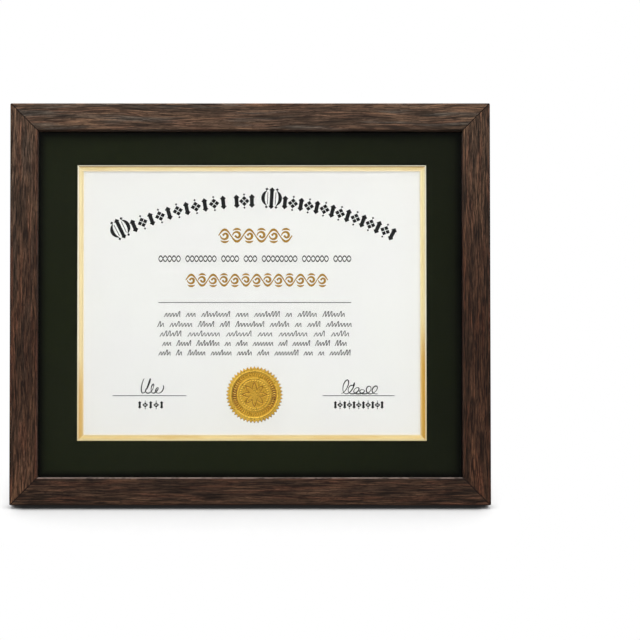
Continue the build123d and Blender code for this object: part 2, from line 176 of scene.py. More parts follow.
def joined(kind, inputs, **settings):
    """A node in the tree of the sockets that it is linked to."""
    sockets = [value for value in inputs.values() if isinstance(value, bpy.types.NodeSocket)]
    return add(sockets[0].id_data, kind, inputs, **settings)


def material(name, look, *choices):
    """A new material whose Principled shader takes the sockets that its look gives."""
    made = bpy.data.materials.new(name)
    made.use_nodes = True
    tree = made.node_tree
    for socket, value in look(tree, *choices).items():
        put(tree, tree.nodes["Principled BSDF"].inputs[socket], value)
    return made


def at_rest(tree, place=None):
    """Where a point lies, in metres, along the axes of place."""
    coordinates = add(tree, "TexCoord").outputs["Object"]
    if place is None:
        return coordinates
    where = {
        "Vector": coordinates,
        "Location": place.to_translation(),
        "Rotation": place.to_euler(),
    }
    return joined("Mapping", where, vector_type="TEXTURE").outputs["Vector"]


def part_of(vector, axis):
    """One coordinate of a vector."""
    return joined("SeparateXYZ", {"Vector": vector}).outputs[axis]


def scaled(vector, lengths, seed=0.0):
    """A vector in units of these lengths, given in millimetres, and moved on by a seed."""
    where = {
        "Vector": vector,
        "Scale": [1 / (length * MM) for length in lengths],
        "Location": [seed * step for step in SEED_STEPS],
    }
    return joined("Mapping", where).outputs["Vector"]


def noise(vector, lengths, detail, rough, seed):
    """Smooth noise about 0.5 whose features have these lengths in millimetres."""
    inputs = {
        "Vector": scaled(vector, lengths, seed),
        "Scale": 1.0,
        "Detail": detail,
        "Roughness": rough,
    }
    return joined("TexNoise", inputs).outputs["Fac"]


def noises(vector, table, seed=0.0):
    """A noise for each row of a table: its lengths, detail, roughness and step of the seed."""
    return [
        noise(vector, lengths, detail, rough, seed + step)
        for lengths, detail, rough, step in table.values()
    ]


def spread(value, low, high, out_low=0.0, out_high=1.0):
    """The value with low to high stretched smoothly over the range out_low to out_high."""
    inputs = {
        "Value": value,
        "From Min": low,
        "From Max": high,
        "To Min": out_low,
        "To Max": out_high,
    }
    return joined("MapRange", inputs, interpolation_type="SMOOTHSTEP").outputs["Result"]


def chained(operation, values):
    """A Math operation on two or more values or sockets, from the first to the last."""
    total, *others = values
    for value in others:
        total = joined("Math", {0: total, 1: value}, operation=operation).outputs[0]
    return total


def plus(*terms):
    """The sum of values or sockets."""
    return chained("ADD", terms)


def minus(*terms):
    """The first of some values or sockets less all the others."""
    return chained("SUBTRACT", terms)


def times(*factors):
    """The product of values or sockets."""
    return chained("MULTIPLY", factors)


def largest(*values):
    """The largest of some values or sockets."""
    return chained("MAXIMUM", values)


def smallest(*values):
    """The smallest of some values or sockets."""
    return chained("MINIMUM", values)


def absolute(value):
    """A value without its sign."""
    return joined("Math", {0: value}, operation="ABSOLUTE").outputs[0]


def on_vectors(operation, inputs, output="Vector"):
    """A Vector Math node's output."""
    return joined("VectorMath", inputs, operation=operation).outputs[output]


def between(share, first, second):
    """A value mixed by a share from two values or sockets."""
    return joined("Mix", {"Factor": share, 2: first, 3: second}, data_type="FLOAT").outputs[0]


def blended(share, first, second):
    """Two colours, mixed by a share."""
    return joined("Mix", {"Factor": share, 6: first, 7: second}, data_type="RGBA").outputs[2]


def dimmed(colour, factor):
    """A colour times a factor."""
    return on_vectors("SCALE", {0: colour, "Scale": factor})


def ramp(value, stops):
    """A colour ramp from (place, colour) stops."""
    node = joined("ValToRGB", {"Fac": value})
    elements = node.color_ramp.elements
    while len(elements) < len(stops):
        elements.new(0.5)
    for element, (place, colour) in zip(elements, stops):
        element.position = place
        element.color = linear(colour)
    return node.outputs["Color"]


def evenly(value, colours):
    """A colour ramp through colours at even places."""
    last = len(colours) - 1
    return ramp(value, [(index / last, colour) for index, colour in enumerate(colours)])


def mottled(value, colours):
    """A noise as a colour ramp through colours at even places."""
    return evenly(spread(value, *FULL_NOISE), colours)


def bump(height, depth, strength):
    """A normal from a height of 0 to 1 that stands for this depth in metres."""
    inputs = {"Height": height, "Distance": depth, "Strength": strength}
    return joined("Bump", inputs).outputs["Normal"]


def facing(tree, direction):
    """How far the surface faces a direction along the frame's own axes, from -1 to 1."""
    normal = add(tree, "TexCoord").outputs["Normal"]
    inputs = {0: normal, 1: LEANED.to_3x3() @ Vector(direction)}
    return on_vectors("DOT_PRODUCT", inputs, "Value")


# Wood

# Each rail: where the heart of its tree lay (across from the outer face, behind the front),
# how far its rings wander, and the seed of its figure
RAIL_HEARTS = {
    "top": (66 * MM, 30 * MM, 13 * MM, 1.0),
    "left": (-60 * MM, 38 * MM, 5 * MM, 5.0),
    "right": (84 * MM, 36 * MM, 6 * MM, 3.0),
    "bottom": (-70 * MM, 42 * MM, 6 * MM, 4.0),
}
# Each rail's stain and painted light: its tone, painted lighter on the top rail and darker on the
# bottom one as light from above falls, how grey and how red it runs, how much its edges are rubbed
# redder, and how strong the painted highlight on its sight edge is
RAIL_STAINS_AND_LIGHT = {
    "top": (0.67, 0.8, 0.3, 0.1, 0.0),
    "left": (0.455, 0.25, 0.5, 0.4, 0.1),
    "right": (0.412, 0.1, 0.6, 0.2, 0.1),
    "bottom": (0.358, 0.05, 0.65, 0.25, 0.9),
}
# How long the fibres show in each rail, in millimetres, and how dark and how light they run
FIBRE_LENGTHS = {"top": 26, "left": 16, "right": 15, "bottom": 24}
FIBRE_SHARES = {
    "top": (0.48, 1.6),
    "left": (0.43, 1.68),
    "right": (0.37, 1.76),
    "bottom": (0.44, 1.66),
}
# Painted light up each rail: its tone at the foot, at the waist and at the head, as shares of its
# own, lightest at the heads of the side rails
PAINTED_LIGHT_SHARES = {
    "top": (1.0, 1.0, 1.0),
    "left": (1.06, 0.82, 1.34),
    "right": (0.92, 0.8, 1.2),
    "bottom": (1.0, 1.0, 1.0),
}
WAIST_SHARE = 0.33
# How far each rail is painted a deeper, redder brown at its foot, a painted loss of the grey sheen
# that the sky lays on the upper rails, that brown's own share of each colour, and where on the
# frame's height it is full and gone
SHEENLESS_FOOT_SHARES = {"top": 0.0, "left": 0.7, "right": 1.0, "bottom": 0.4}
SHEENLESS_FOOT_TINT = (1.02, 0.78, 0.66)
SHEENLESS_FOOT_FADE_SHARES = (0.4, 1.05)
# The tone at the outer and at the sight edge of each rail, as shares of its own
ACROSS_SHARES = {
    "top": (1.05, 0.97),
    "left": (1.18, 0.84),
    "right": (0.92, 1.08),
    "bottom": (0.93, 1.0),
}
# The same along each rail's outer corner and along its sight edge: a painted highlight on the top
# rail's upper corner, and painted shade on the other outer corners and on the sight edges of the
# top rail, which faces down, and, a little, of the right rail
OUTER_LIGHT_SHARES = {"top": 1.5, "left": 0.6, "right": 0.5, "bottom": 0.6}
SIGHT_LIGHT_SHARES = {"top": 0.55, "left": 1.0, "right": 0.9, "bottom": 1.0}
# Where each line along an edge or a joint begins to fade and is gone
MITRE_LINE = (0.25 * MM, 0.75 * MM)
EDGE_BAND = (0.6 * MM, 2.6 * MM)
OUTER_LINE = (0.3 * MM, 1.3 * MM)
SIGHT_LINE = (0.5 * MM, 1.9 * MM)
SIGHT_HIGHLIGHT_LINE = (0.4 * MM, 1.0 * MM)

# Noises: lengths in millimetres, detail, roughness and step of the seed. Those through the
# rings have their lengths along the grain and across it.
WANDER_NOISES = {
    "slow": ((140, 70, 70), 2, 0.55, 0.0),
    "quick": ((30, 12, 12), 2, 0.55, 0.4),
}
QUICK_SHARE = 1 / 13
STAIN_NOISES = {
    "patch": ((58, 4.6, 1), 2, 0.55, 0),
    "warmth": ((44, 3.2, 1), 2, 0.55, 3),
    "coolness": ((66, 4.2, 1), 2, 0.55, 6),
    "streak": ((26, 1.2, 1), 1, 0.55, 1),
    "flecks": ((10, 0.8, 1), 1, 0.55, 8),
    "pores": ((9, 0.66, 1), 1, 0.55, 4),
    "pricks": ((3.4, 0.24, 1), 1, 0.55, 9),
}
FIBRE_W = 0.64
FIBRE_NOISE = (2, 0.6, 2)
SAWN_NOISES = {"figure": ((90, 3, 1), 3, 0.55, 0), "fibre": ((14, 0.6, 1), 3, 0.55, 2)}
RUN_NOISE = {"runs": ((9, 9, 2.4), 3, 0.55, 5)}

# Where on its noise each of the stain's shares begins and is full, and what it gives at both
# where that isn't each rail's own
WARM_SPREAD = (0.48, 0.64)
COOL_SPREAD = (0.5, 0.68)
RUB_SPREAD = (0.42, 0.62)
FIBRE_SPREAD = (0.38, 0.62)
STREAK_SPREAD = (0.34, 0.66, 0.8, 1.22)
FLECK_SPREAD = (0.6, 0.68, 1.0, 1.45)
SIGHT_HIGHLIGHT_SPREAD = (0.3, 0.6, 0.4, 1.2)
PORE_SPREAD = (0.56, 0.64, 0.0, 0.7)
PRICK_SPREAD = (0.58, 0.66, 0.0, 0.7)
JOINT_SHARE = 0.85
FIBRE_RELIEF = 0.5
# The same for the sawn back, and how far the stain's runs reach round the outer edge
SAWN_SPREAD = (0.35, 0.7, 0.0, 0.5)
RUN_REACH = 7 * MM
RUN_SPREAD = (-2.6 * MM, -0.8 * MM, 1.0, 0.12)
UNPOLISHED_SPREAD = (0.8, 0.9)
UNPOLISHED_ROUGH = 0.35
WOOD_ROUGH = (0.46, 0.6)

PATCH_COLOURS = ((66, 51, 39), (84, 64, 50), (106, 81, 62))
WARM_COLOUR = (108, 74, 56)
COOL_COLOUR = (80, 73, 65)
RUBBED_COLOUR = (128, 78, 60)
SIGHT_HIGHLIGHT_COLOUR = (204, 180, 168)
PORE_COLOUR = (36, 25, 19)
JOINT_COLOUR = (16, 10, 8)
SAWN_COLOURS = ((128, 98, 70), (174, 142, 106))
SAWN_FIBRE_COLOUR = (98, 73, 51)


def ring_space(at, heart_z, heart_y, wander, seed):
    """Along the grain, and out from the heart through rings that wander a little."""
    centred = on_vectors("SUBTRACT", {0: at, 1: (0, heart_y, heart_z)})
    flat = on_vectors("MULTIPLY", {0: centred, 1: (0, 1, 1)})
    radius = on_vectors("LENGTH", {0: flat}, "Value")
    slow, quick = noises(at, WANDER_NOISES, seed)
    out = plus(radius, times(slow, wander), times(quick, wander * QUICK_SHARE))
    return joined("CombineXYZ", {"X": part_of(at, "X"), "Y": out}).outputs["Vector"]


def mitre_gap(at, side):
    """How far a point of a rail lies inside its mitres, in metres."""
    length, _ = side_sizes(side)
    return minus(length / 2, absolute(part_of(at, "X")), part_of(at, "Z"))


def painted_light_along(upward, side, tone):
    """The rail's tone, with painted light that changes up the rail."""
    foot, waist, head = [share * tone for share in PAINTED_LIGHT_SHARES[side]]
    lower = spread(upward, 0.0, WAIST_SHARE * FRAME_H, foot - waist, 0.0)
    upper = spread(upward, WAIST_SHARE * FRAME_H, FRAME_H, 0.0, head - waist)
    return plus(lower, upper, waist)


def stained_front(at, rings, upward, side, seed):
    """The stained faces: fine streaks, redder and greyer patches, dark pores and joints."""
    tone, grey, red, rub, sight_highlight = RAIL_STAINS_AND_LIGHT[side]
    patch, warmth, coolness, streak, flecks, pores, pricks = noises(rings, STAIN_NOISES, seed)
    detail, rough, step = FIBRE_NOISE
    fibre = noise(rings, (FIBRE_LENGTHS[side], FIBRE_W, 1), detail, rough, seed + step)
    height = part_of(at, "Z")
    inward = minus(RAIL_FACE, height)

    base = mottled(patch, PATCH_COLOURS)
    base = blended(spread(warmth, *WARM_SPREAD, 0.0, red), base, linear(WARM_COLOUR))
    base = blended(spread(coolness, *COOL_SPREAD, 0.0, grey), base, linear(COOL_COLOUR))
    # Painted light and shade: the rail's tone and its change up the rail, and the shares along the
    # outer corner and the sight edge
    level = times(
        spread(streak, *STREAK_SPREAD),
        spread(fibre, *FIBRE_SPREAD, *FIBRE_SHARES[side]),
        spread(flecks, *FLECK_SPREAD),
        painted_light_along(upward, side, tone),
        spread(height, 0.0, RAIL_FACE, *ACROSS_SHARES[side]),
        spread(height, *OUTER_LINE, OUTER_LIGHT_SHARES[side], 1.0),
        spread(inward, *SIGHT_LINE, SIGHT_LIGHT_SHARES[side], 1.0),
    )
    base = dimmed(base, level)
    # Painted reflection: deeper and redder towards the foot, where less grey sheen lies
    full, gone = [share * FRAME_H for share in SHEENLESS_FOOT_FADE_SHARES]
    tinted = on_vectors("MULTIPLY", {0: base, 1: SHEENLESS_FOOT_TINT})
    base = blended(spread(upward, full, gone, SHEENLESS_FOOT_SHARES[side], 0.0), base, tinted)

    # Some edges are rubbed redder, the sight edge gets a painted highlight, the pores and the mitres
    # are dark
    outer = spread(height, *EDGE_BAND, 1.0, 0.0)
    inner = spread(inward, *EDGE_BAND, 1.0, 0.0)
    rubbed = times(largest(outer, inner), spread(warmth, *RUB_SPREAD, 0.0, rub))
    base = blended(rubbed, base, shade(RUBBED_COLOUR, tone))
    streaked = spread(streak, *SIGHT_HIGHLIGHT_SPREAD)
    sight_highlight = times(sight_highlight, streaked, spread(inward, *SIGHT_HIGHLIGHT_LINE, 1.0, 0.0))
    base = blended(sight_highlight, base, shade(SIGHT_HIGHLIGHT_COLOUR, tone))
    pore_share = largest(spread(pores, *PORE_SPREAD), spread(pricks, *PRICK_SPREAD))
    base = blended(pore_share, base, shade(PORE_COLOUR, tone))
    joint_share = spread(mitre_gap(at, side), *MITRE_LINE, JOINT_SHARE, 0.0)
    base = blended(joint_share, base, linear(JOINT_COLOUR))
    return base, minus(times(fibre, FIBRE_RELIEF), pore_share), fibre


def sawn_back(at, rings, front, seed):
    """The back, left as it was sawn, with stain that ran over from the outer edge."""
    figure, fibre = noises(rings, SAWN_NOISES, seed)
    raw = mottled(figure, SAWN_COLOURS)
    raw = blended(spread(fibre, *SAWN_SPREAD), raw, linear(SAWN_FIBRE_COLOUR))
    runs, = noises(at, RUN_NOISE, seed)
    wet = plus(part_of(at, "Z"), times(runs, -RUN_REACH))
    return blended(spread(wet, *RUN_SPREAD), raw, front)


def wood(tree, side):
    """Dark stained open-pored wood with its grain along the rail."""
    heart_z, heart_y, wander, seed = RAIL_HEARTS[side]
    at = at_rest(tree, on_side(side))
    rings = ring_space(at, heart_z, heart_y, wander, seed)
    upward = part_of(at_rest(tree, LEANED), "Z")
    front, relief, fibre = stained_front(at, rings, upward, side, seed)
    is_back = spread(facing(tree, (0, 1, 0)), *UNPOLISHED_SPREAD)
    is_under = spread(facing(tree, (0, 0, -1)), *UNPOLISHED_SPREAD)
    dull = times(largest(is_back, is_under), UNPOLISHED_ROUGH)
    return {
        "Base Color": blended(is_back, front, sawn_back(at, rings, front, seed)),
        "Roughness": plus(spread(fibre, *FULL_NOISE, *WOOD_ROUGH), dull),
        "Specular IOR Level": 0.1,
        "Normal": bump(relief, depth=0.08 * MM, strength=0.5),
    }


# Glass, boards and paper

def glass(tree):
    """Clear picture glass that lets the lamps through to the sheet."""
    shader = tree.nodes["Principled BSDF"]
    clear = add(tree, "BsdfTransparent", {"Color": WHITE})
    lets_through = add(tree, "LightPath").outputs["Is Shadow Ray"]
    inputs = {"Fac": lets_through, 1: shader.outputs[0], 2: clear.outputs[0]}
    mix = joined("MixShader", inputs)
    tree.links.new(mix.outputs[0], tree.nodes["Material Output"].inputs["Surface"])
    return {
        "Base Color": WHITE,
        "Roughness": 0.0,
        "IOR": 1.5,
        "Specular IOR Level": 0.3,
        "Transmission Weight": 1.0,
    }


MAT_NOISES = {"fibres": ((0.9,) * 3, 4, 0.7, 0), "clouds": ((70,) * 3, 2, 0.55, 2)}
MAT_COLOURS = ((28, 32, 19), (34, 38, 23))
MAT_CLOUD_COLOUR = (30, 35, 18)
CORE_COLOURS = ((240, 233, 210), (250, 244, 226))
CORE_TAN = (226, 207, 158)
BEVEL_LINE_COLOUR = (150, 120, 66)
CLOUD_SPREAD = (0.35, 0.65, 0.0, 0.6)
# How wide the band of painted shade beside the rails is, and its share of the board's tone
MAT_SHADE_W = 7.2 * MM
MAT_SHADE_SHARE = 0.12
# How much darker the mat is at its right than at its left, as painted shade, how tan its core is
# at the foot, and how far down the upper bevel its painted shadow line begins and is full, as
# shares of the board's thickness
MAT_RIGHT_SHADE_SHARE = 0.68
CORE_LOW_SHARE = 0.8
BEVEL_LINE_SHARES = (0.5, 0.7)
BEVEL_LINE_SHARE = 0.95
# How far the bevels and the front face their own ways
BEVEL_SPREAD = (0.2, 0.6)
FRONT_SPREAD = (0.9, 0.97)


def rail_gap(at):
    """How far a point of the mat lies from the nearest rail, in metres."""
    across = absolute(part_of(at, "X"))
    level = absolute(minus(part_of(at, "Z"), FRAME_H / 2))
    gap_x = minus(FRAME_W / 2 - RAIL_FACE, across)
    gap_z = minus(FRAME_H / 2 - RAIL_FACE, level)
    return smallest(gap_x, gap_z)


def mat_board(tree):
    """Green-black surface paper over a cream core, with painted shade beside the rails and towards
    the right.
    """
    at = at_rest(tree, LEANED)
    fibres, clouds = noises(at, MAT_NOISES)
    face = mottled(fibres, MAT_COLOURS)
    face = blended(spread(clouds, *CLOUD_SPREAD), face, linear(MAT_CLOUD_COLOUR))
    # Painted shade: darker beside the rails and towards the right
    rail_shade = spread(rail_gap(at), 0.0, MAT_SHADE_W, MAT_SHADE_SHARE, 1.0)
    right_shade = spread(part_of(at, "X"), 0.0, FRAME_W / 2, 1.0, MAT_RIGHT_SHADE_SHARE)
    face = dimmed(dimmed(face, rail_shade), right_shade)

    up_share = spread(facing(tree, (0, 0, 1)), *BEVEL_SPREAD)
    low_share = spread(part_of(at, "Z"), SHEET_LOW.z, FRAME_H / 2, CORE_LOW_SHARE, 0.0)
    core = mottled(fibres, CORE_COLOURS)
    core = blended(largest(up_share, low_share), core, linear(CORE_TAN))
    mat_low, mat_high = box_along(LEANED, "top_mat")
    inward = minus(part_of(at, "Y"), mat_low.y)
    line_start, line_full = [share * (mat_high.y - mat_low.y) for share in BEVEL_LINE_SHARES]
    faces_down = spread(facing(tree, (0, 0, -1)), *BEVEL_SPREAD)
    line = times(faces_down, spread(inward, line_start, line_full, 0.0, BEVEL_LINE_SHARE))
    core = blended(line, core, linear(BEVEL_LINE_COLOUR))
    return {
        "Base Color": blended(spread(facing(tree, (0, -1, 0)), *FRONT_SPREAD), core, face),
        "Roughness": 0.95,
        "Specular IOR Level": 0.02,
        "Normal": bump(fibres, depth=0.05 * MM, strength=0.5),
    }


BOARD_NOISES = {"fibres": ((1.4,) * 3, 4, 0.65, 0)}


def board_stock(tree, low, high):
    """Plain board or card between two close colours."""
    fibres, = noises(at_rest(tree), BOARD_NOISES)
    return {
        "Base Color": mottled(fibres, (low, high)),
        "Roughness": 0.85,
        "Specular IOR Level": 0.25,
        "Normal": bump(fibres, depth=0.04 * MM, strength=0.4),
    }


PAPER_NOISES = {"fibres": ((0.7,) * 3, 4, 0.7, 0), "clouds": ((45,) * 3, 2, 0.55, 1)}
PAPER_COLOURS = ((246, 247, 243), (250, 251, 247))
PAPER_CLOUD_COLOUR = (247, 247, 245)


def paper(tree):
    """Smooth white certificate card."""
    fibres, clouds = noises(at_rest(tree), PAPER_NOISES)
    colour = mottled(fibres, PAPER_COLOURS)
    cloudy = spread(clouds, *CLOUD_SPREAD)
    return {
        "Base Color": blended(cloudy, colour, linear(PAPER_CLOUD_COLOUR)),
        "Roughness": 0.7,
        "Specular IOR Level": 0.2,
        "Normal": bump(fibres, depth=0.02 * MM, strength=0.3),
    }


PEBBLE_LENGTHS = (1.3,) * 3
PEBBLE_SPREAD = (0.1, 0.7)
PEBBLE_COLOURS = ((26, 25, 24), (44, 42, 40))
HARDBOARD_NOISES = {"fibres": ((0.5,) * 3, 3, 0.55, 0), "dust": ((30,) * 3, 3, 0.55, 3)}
HARDBOARD_ROUGH = (0.62, 0.78)
DUST_SPREAD = (0.4, 0.75, 0.0, 0.35)
DUST_COLOUR = (58, 55, 52)
HARDBOARD_FIBRE_RELIEF = 0.3


def black_hardboard(tree):
    """Hardboard faced with black paper that has a fine leather grain."""
    at = at_rest(tree)
    cells = joined("TexVoronoi", {"Vector": scaled(at, PEBBLE_LENGTHS), "Scale": 1.0})
    pebble = spread(cells.outputs["Distance"], *PEBBLE_SPREAD)
    fibres, dust = noises(at, HARDBOARD_NOISES)
    face = evenly(pebble, PEBBLE_COLOURS)
    height = plus(times(fibres, HARDBOARD_FIBRE_RELIEF), pebble)
    return {
        "Base Color": blended(spread(dust, *DUST_SPREAD), face, linear(DUST_COLOUR)),
        "Roughness": spread(fibres, *FULL_NOISE, *HARDBOARD_ROUGH),
        "Specular IOR Level": 0.4,
        "Normal": bump(height, depth=0.12 * MM, strength=0.6),
    }


# Metals and gold

METAL_NOISES = {"lines": ((30, 0.25, 0.25), 2, 0.55, 0), "patches": ((5,) * 3, 4, 0.55, 5)}
DULL_SPREAD = (0.45, 0.75, 0.0, 0.6)
DULL_ROUGH = 0.12


def metal(tree, light, dark, roughness):
    """Plated sheet metal with fine rolling lines and a few duller patches."""
    lines, patches = noises(at_rest(tree), METAL_NOISES)
    dull = spread(patches, *DULL_SPREAD)
    rolled = spread(lines, *FULL_NOISE, *roughness)
    return {
        "Base Color": blended(dull, linear(light), linear(dark)),
        "Metallic": 1.0,
        "Roughness": plus(rolled, times(dull, DULL_ROUGH)),
        "Normal": bump(lines, depth=0.012 * MM, strength=0.35),
    }


# The gold strips' colour across their visible face, from the sight edge (0) to the mat (1), with
# painted light: a painted highlight at the sight edge, a painted shadow under the mat on the top
# strip, and painted light that differs from strip to strip by the way each faces
GOLD_SIGHT = 3.8 * MM
GOLD_AND_LIGHT_STOPS = {
    "top": [
        (0, (255, 250, 238)), (0.18, (242, 227, 190)), (0.4, (254, 237, 186)),
        (0.7, (255, 240, 184)), (0.88, (253, 226, 164)), (1, (214, 172, 104)),
    ],
    "left": [
        (0, (247, 234, 200)), (0.2, (248, 232, 188)), (0.5, (249, 233, 180)),
        (0.8, (252, 238, 190)), (1, (246, 228, 176)),
    ],
    "right": [
        (0, (250, 240, 206)), (0.25, (249, 235, 182)), (0.55, (255, 241, 187)),
        (0.85, (255, 244, 194)), (1, (250, 232, 180)),
    ],
    "bottom": [
        (0, (246, 230, 196)), (0.2, (248, 230, 180)), (0.42, (250, 226, 160)),
        (0.63, (241, 217, 148)), (0.84, (240, 220, 156)), (1, (238, 220, 164)),
    ],
}
GOLD_DEEP = (219, 170, 68)
# How deep the tone is painted low on the upright strips and up their length, as painted
# reflection, and how mottled each is
GOLD_REFLECTION_AND_MOTTLE_SHARES = {
    "top": (0.0, 0.1, 0.3),
    "left": (0.78, 0.25, 0.2),
    "right": (1.0, 0.28, 0.3),
    "bottom": (0.0, 0.0, 0.3),
}
# Where the painted deep tone low down is full and where it ends, as shares of the sheet's height
GOLD_LOW_SHARES = {
    "top": (0.0, 0.1),
    "left": (0.12, 0.38),
    "right": (0.24, 0.52),
    "bottom": (0.0, 0.1),
}
# Where the painted highlight along the sight edge ends, and how deep the tone still gets on it
GOLD_HEART_SHARE = 0.6
GOLD_EDGE_SHARE = 0.45
# The leaf's mottling, whose seed is a side's turn in steps of 45 degrees, and its speckle
GOLD_NOISE = ((24, 6, 6), 4, 0.6)
GOLD_SEED_DEG = 45
GOLD_MOTTLE_SPREAD = (0.42, 0.72)
SPECKLE_NOISE = {"speckle": ((3, 1.2, 1.2), 3, 0.55, 4)}
GOLD_ROUGH = (0.34, 0.46)


def gold_leaf(tree, side):
    """Gold leaf over wood, mottled and deeper where it is thin, with painted highlight, shadow and
    reflection.
    """
    place = on_side(side)
    at = at_rest(tree, place)
    low_share, slow_share, mottle_share = GOLD_REFLECTION_AND_MOTTLE_SHARES[side]
    _, inner = box_along(place, f"gold_fillet_{side}")
    across = minus(inner.z, part_of(at, "Z"))
    colour = ramp(times(across, 1 / GOLD_SIGHT), GOLD_AND_LIGHT_STOPS[side])
    leaf = noise(at, *GOLD_NOISE, SIDE_TURN_DEG[side] / GOLD_SEED_DEG)
    speckle, = noises(at, SPECKLE_NOISE)
    upward = part_of(at_rest(tree, LEANED), "Z")
    sheet_h = SHEET_HIGH.z - SHEET_LOW.z
    full, gone = [SHEET_LOW.z + share * sheet_h for share in GOLD_LOW_SHARES[side]]
    # Painted reflection: the upright strips are deeper low down
    low_down = spread(upward, full, gone, low_share, 0.0)
    slow = spread(upward, SHEET_LOW.z, SHEET_HIGH.z, slow_share, 0.0)
    mottling = spread(leaf, *GOLD_MOTTLE_SPREAD, 0.0, mottle_share)
    heart = spread(across, 0.0, GOLD_HEART_SHARE * GOLD_SIGHT, GOLD_EDGE_SHARE, 1.0)
    deep = times(largest(low_down, slow, mottling), heart)
    return {
        "Base Color": blended(deep, colour, linear(GOLD_DEEP)),
        "Metallic": 0.05,
        "Roughness": spread(leaf, *FULL_NOISE, *GOLD_ROUGH),
        "Normal": bump(speckle, depth=0.03 * MM, strength=0.4),
    }


FOIL_NOISES = {"sheen": ((16,) * 3, 3, 0.55, 6), "crinkle": ((1.4,) * 3, 1, 0.55, 7)}
# How far out from the sheet the hollows and the heights of the relief are
FOIL_OUT = (0.1 * MM, 0.38 * MM)
# The foil's colour by how far out it stands: a painted highlight on the heights and painted red-brown
# shade in the hollows
FOIL_GOLD_AND_LIGHT_STOPS = [(0, (74, 38, 8)), (0.3, (168, 114, 22)), (0.6, (217, 167, 46)), (1, (243, 200, 82))]
FOIL_SHADE = (192, 138, 28)
FOIL_SHADE_SPREAD = (0.4, 0.66, 0.0, 0.35)
FOIL_ROUGH = (0.26, 0.4)
# The way that the foil's slopes face where they are brightest, how steep they then are, and
# the level of light on the slopes that face away and toward it
FOIL_BRIGHT_WAY = (-0.6, 0, 0.8)
FOIL_SLOPE = 0.1
FOIL_LEVELS = (0.54, 1.34)


def gold_foil(tree):
    """Embossed gold foil: a painted highlight where it stands out, painted red-brown shade in the
    hollows.
    """
    at = at_rest(tree, LEANED)
    sheen, crinkle = noises(at, FOIL_NOISES)
    out = minus(SHEET_LOW.y, part_of(at, "Y"))
    colour = ramp(spread(out, *FOIL_OUT), FOIL_GOLD_AND_LIGHT_STOPS)
    colour = blended(spread(sheen, *FOIL_SHADE_SPREAD), colour, linear(FOIL_SHADE))
    slope = facing(tree, FOIL_BRIGHT_WAY)
    return {
        "Base Color": dimmed(colour, spread(slope, -FOIL_SLOPE, FOIL_SLOPE, *FOIL_LEVELS)),
        "Metallic": 0.45,
        "Roughness": spread(crinkle, *FULL_NOISE, *FOIL_ROUGH),
        "Normal": bump(crinkle, depth=0.012 * MM, strength=0.3),
    }


INK_NOISE = {"lay": ((1.5,) * 3, 3, 0.55, 0)}
INK_SPREAD = (0.35, 0.7, 0.0, 0.2)
INK_PALER = 36


def ink(tree, colour, metallic, roughness):
    """Printed ink with a slightly uneven lay."""
    lay, = noises(at_rest(tree), INK_NOISE)
    paler = linear([part + INK_PALER for part in colour])
    return {
        "Base Color": blended(spread(lay, *INK_SPREAD), linear(colour), paler),
        "Metallic": metallic,
        "Roughness": roughness,
        "Specular IOR Level": 0.2,
    }


RIB_SCALE = 0.3 / MM
THREAD_NOISE = {"threads": ((0.3,) * 3, 2, 0.55, 0)}
THREAD_RELIEF = 0.4
RIBBON_COLOURS = ((12, 12, 13), (44, 44, 46))


def ribbon_cloth(tree):
    """Black grosgrain: fine ribs across the ribbon."""
    at = at_rest(tree, LEANED)
    ribs = joined("TexWave", {"Vector": at, "Scale": RIB_SCALE}, bands_direction="Y")
    threads, = noises(at, THREAD_NOISE)
    height = plus(ribs.outputs["Fac"], times(threads, THREAD_RELIEF))
    return {
        "Base Color": evenly(height, RIBBON_COLOURS),
        "Roughness": 0.75,
        "Sheen Weight": 0.3,
        "Sheen Roughness": 0.4,
        "Normal": bump(height, depth=0.12 * MM, strength=0.6),
    }


# Each slot's look, and what it is given: colours, and the metals' roughness
LOOKS = {
    "glass": (glass,),
    "mat_board": (mat_board,),
    "spacer_board": (board_stock, (205, 202, 190), (228, 225, 214)),
    "paper": (paper,),
    "gold_foil": (gold_foil,),
    "foam_board": (board_stock, (228, 228, 224), (240, 240, 237)),
    "black_hardboard": (black_hardboard,),
    "steel": (metal, (176, 176, 174), (138, 136, 132), (0.3, 0.42)),
    "nickel_steel": (metal, (204, 201, 195), (184, 180, 173), (0.2, 0.32)),
    "brassed_steel": (metal, (218, 188, 118), (188, 156, 92), (0.24, 0.36)),
    "ribbon": (ribbon_cloth,),
}
FINISHES = {slot: material(slot, *look) for slot, look in LOOKS.items()}
SIDE_LOOKS = {"dark_wood": wood, "gold_leaf": gold_leaf}


def dress_cad_nodes():
    """Gives every CAD node the material of its slot, and each rail and gold strip its own."""
    for entry in frame["record"]["subparts"]:
        name, slot = entry["node"], entry["material_slot"]
        if slot in SIDE_LOOKS:
            side = name.rsplit("_", 1)[-1]
            finish = material(f"{slot}_{side}", SIDE_LOOKS[slot], side)
        else:
            finish = FINISHES[slot]
        node = NODES[name]
        if not node.material_slots:
            node.data.materials.append(finish)
        for material_slot in node.material_slots:
            material_slot.material = finish


dress_cad_nodes()


# Pieces of mesh

def make_piece(name, vertices, faces, finish, smooth=False):
    """A mesh piece in the row's frame, with the slot that it takes its finish from."""
    mesh = bpy.data.meshes.new(name)
    mesh.from_pydata(vertices, [], faces)
    mesh.validate()
    mesh.update()
    mesh.materials.append(finish)
    for polygon in mesh.polygons:
        polygon.use_smooth = smooth
    piece = bpy.data.objects.new(name, mesh)
    bpy.context.scene.collection.objects.link(piece)
    return piece


def ring_faces(low, high, count):
    """Faces between two rings of vertices that start at low and at high."""
    afters = [(turn + 1) % count for turn in range(count)]
    return [(low + turn, low + after, high + after, high + turn) for turn, after in enumerate(afters)]


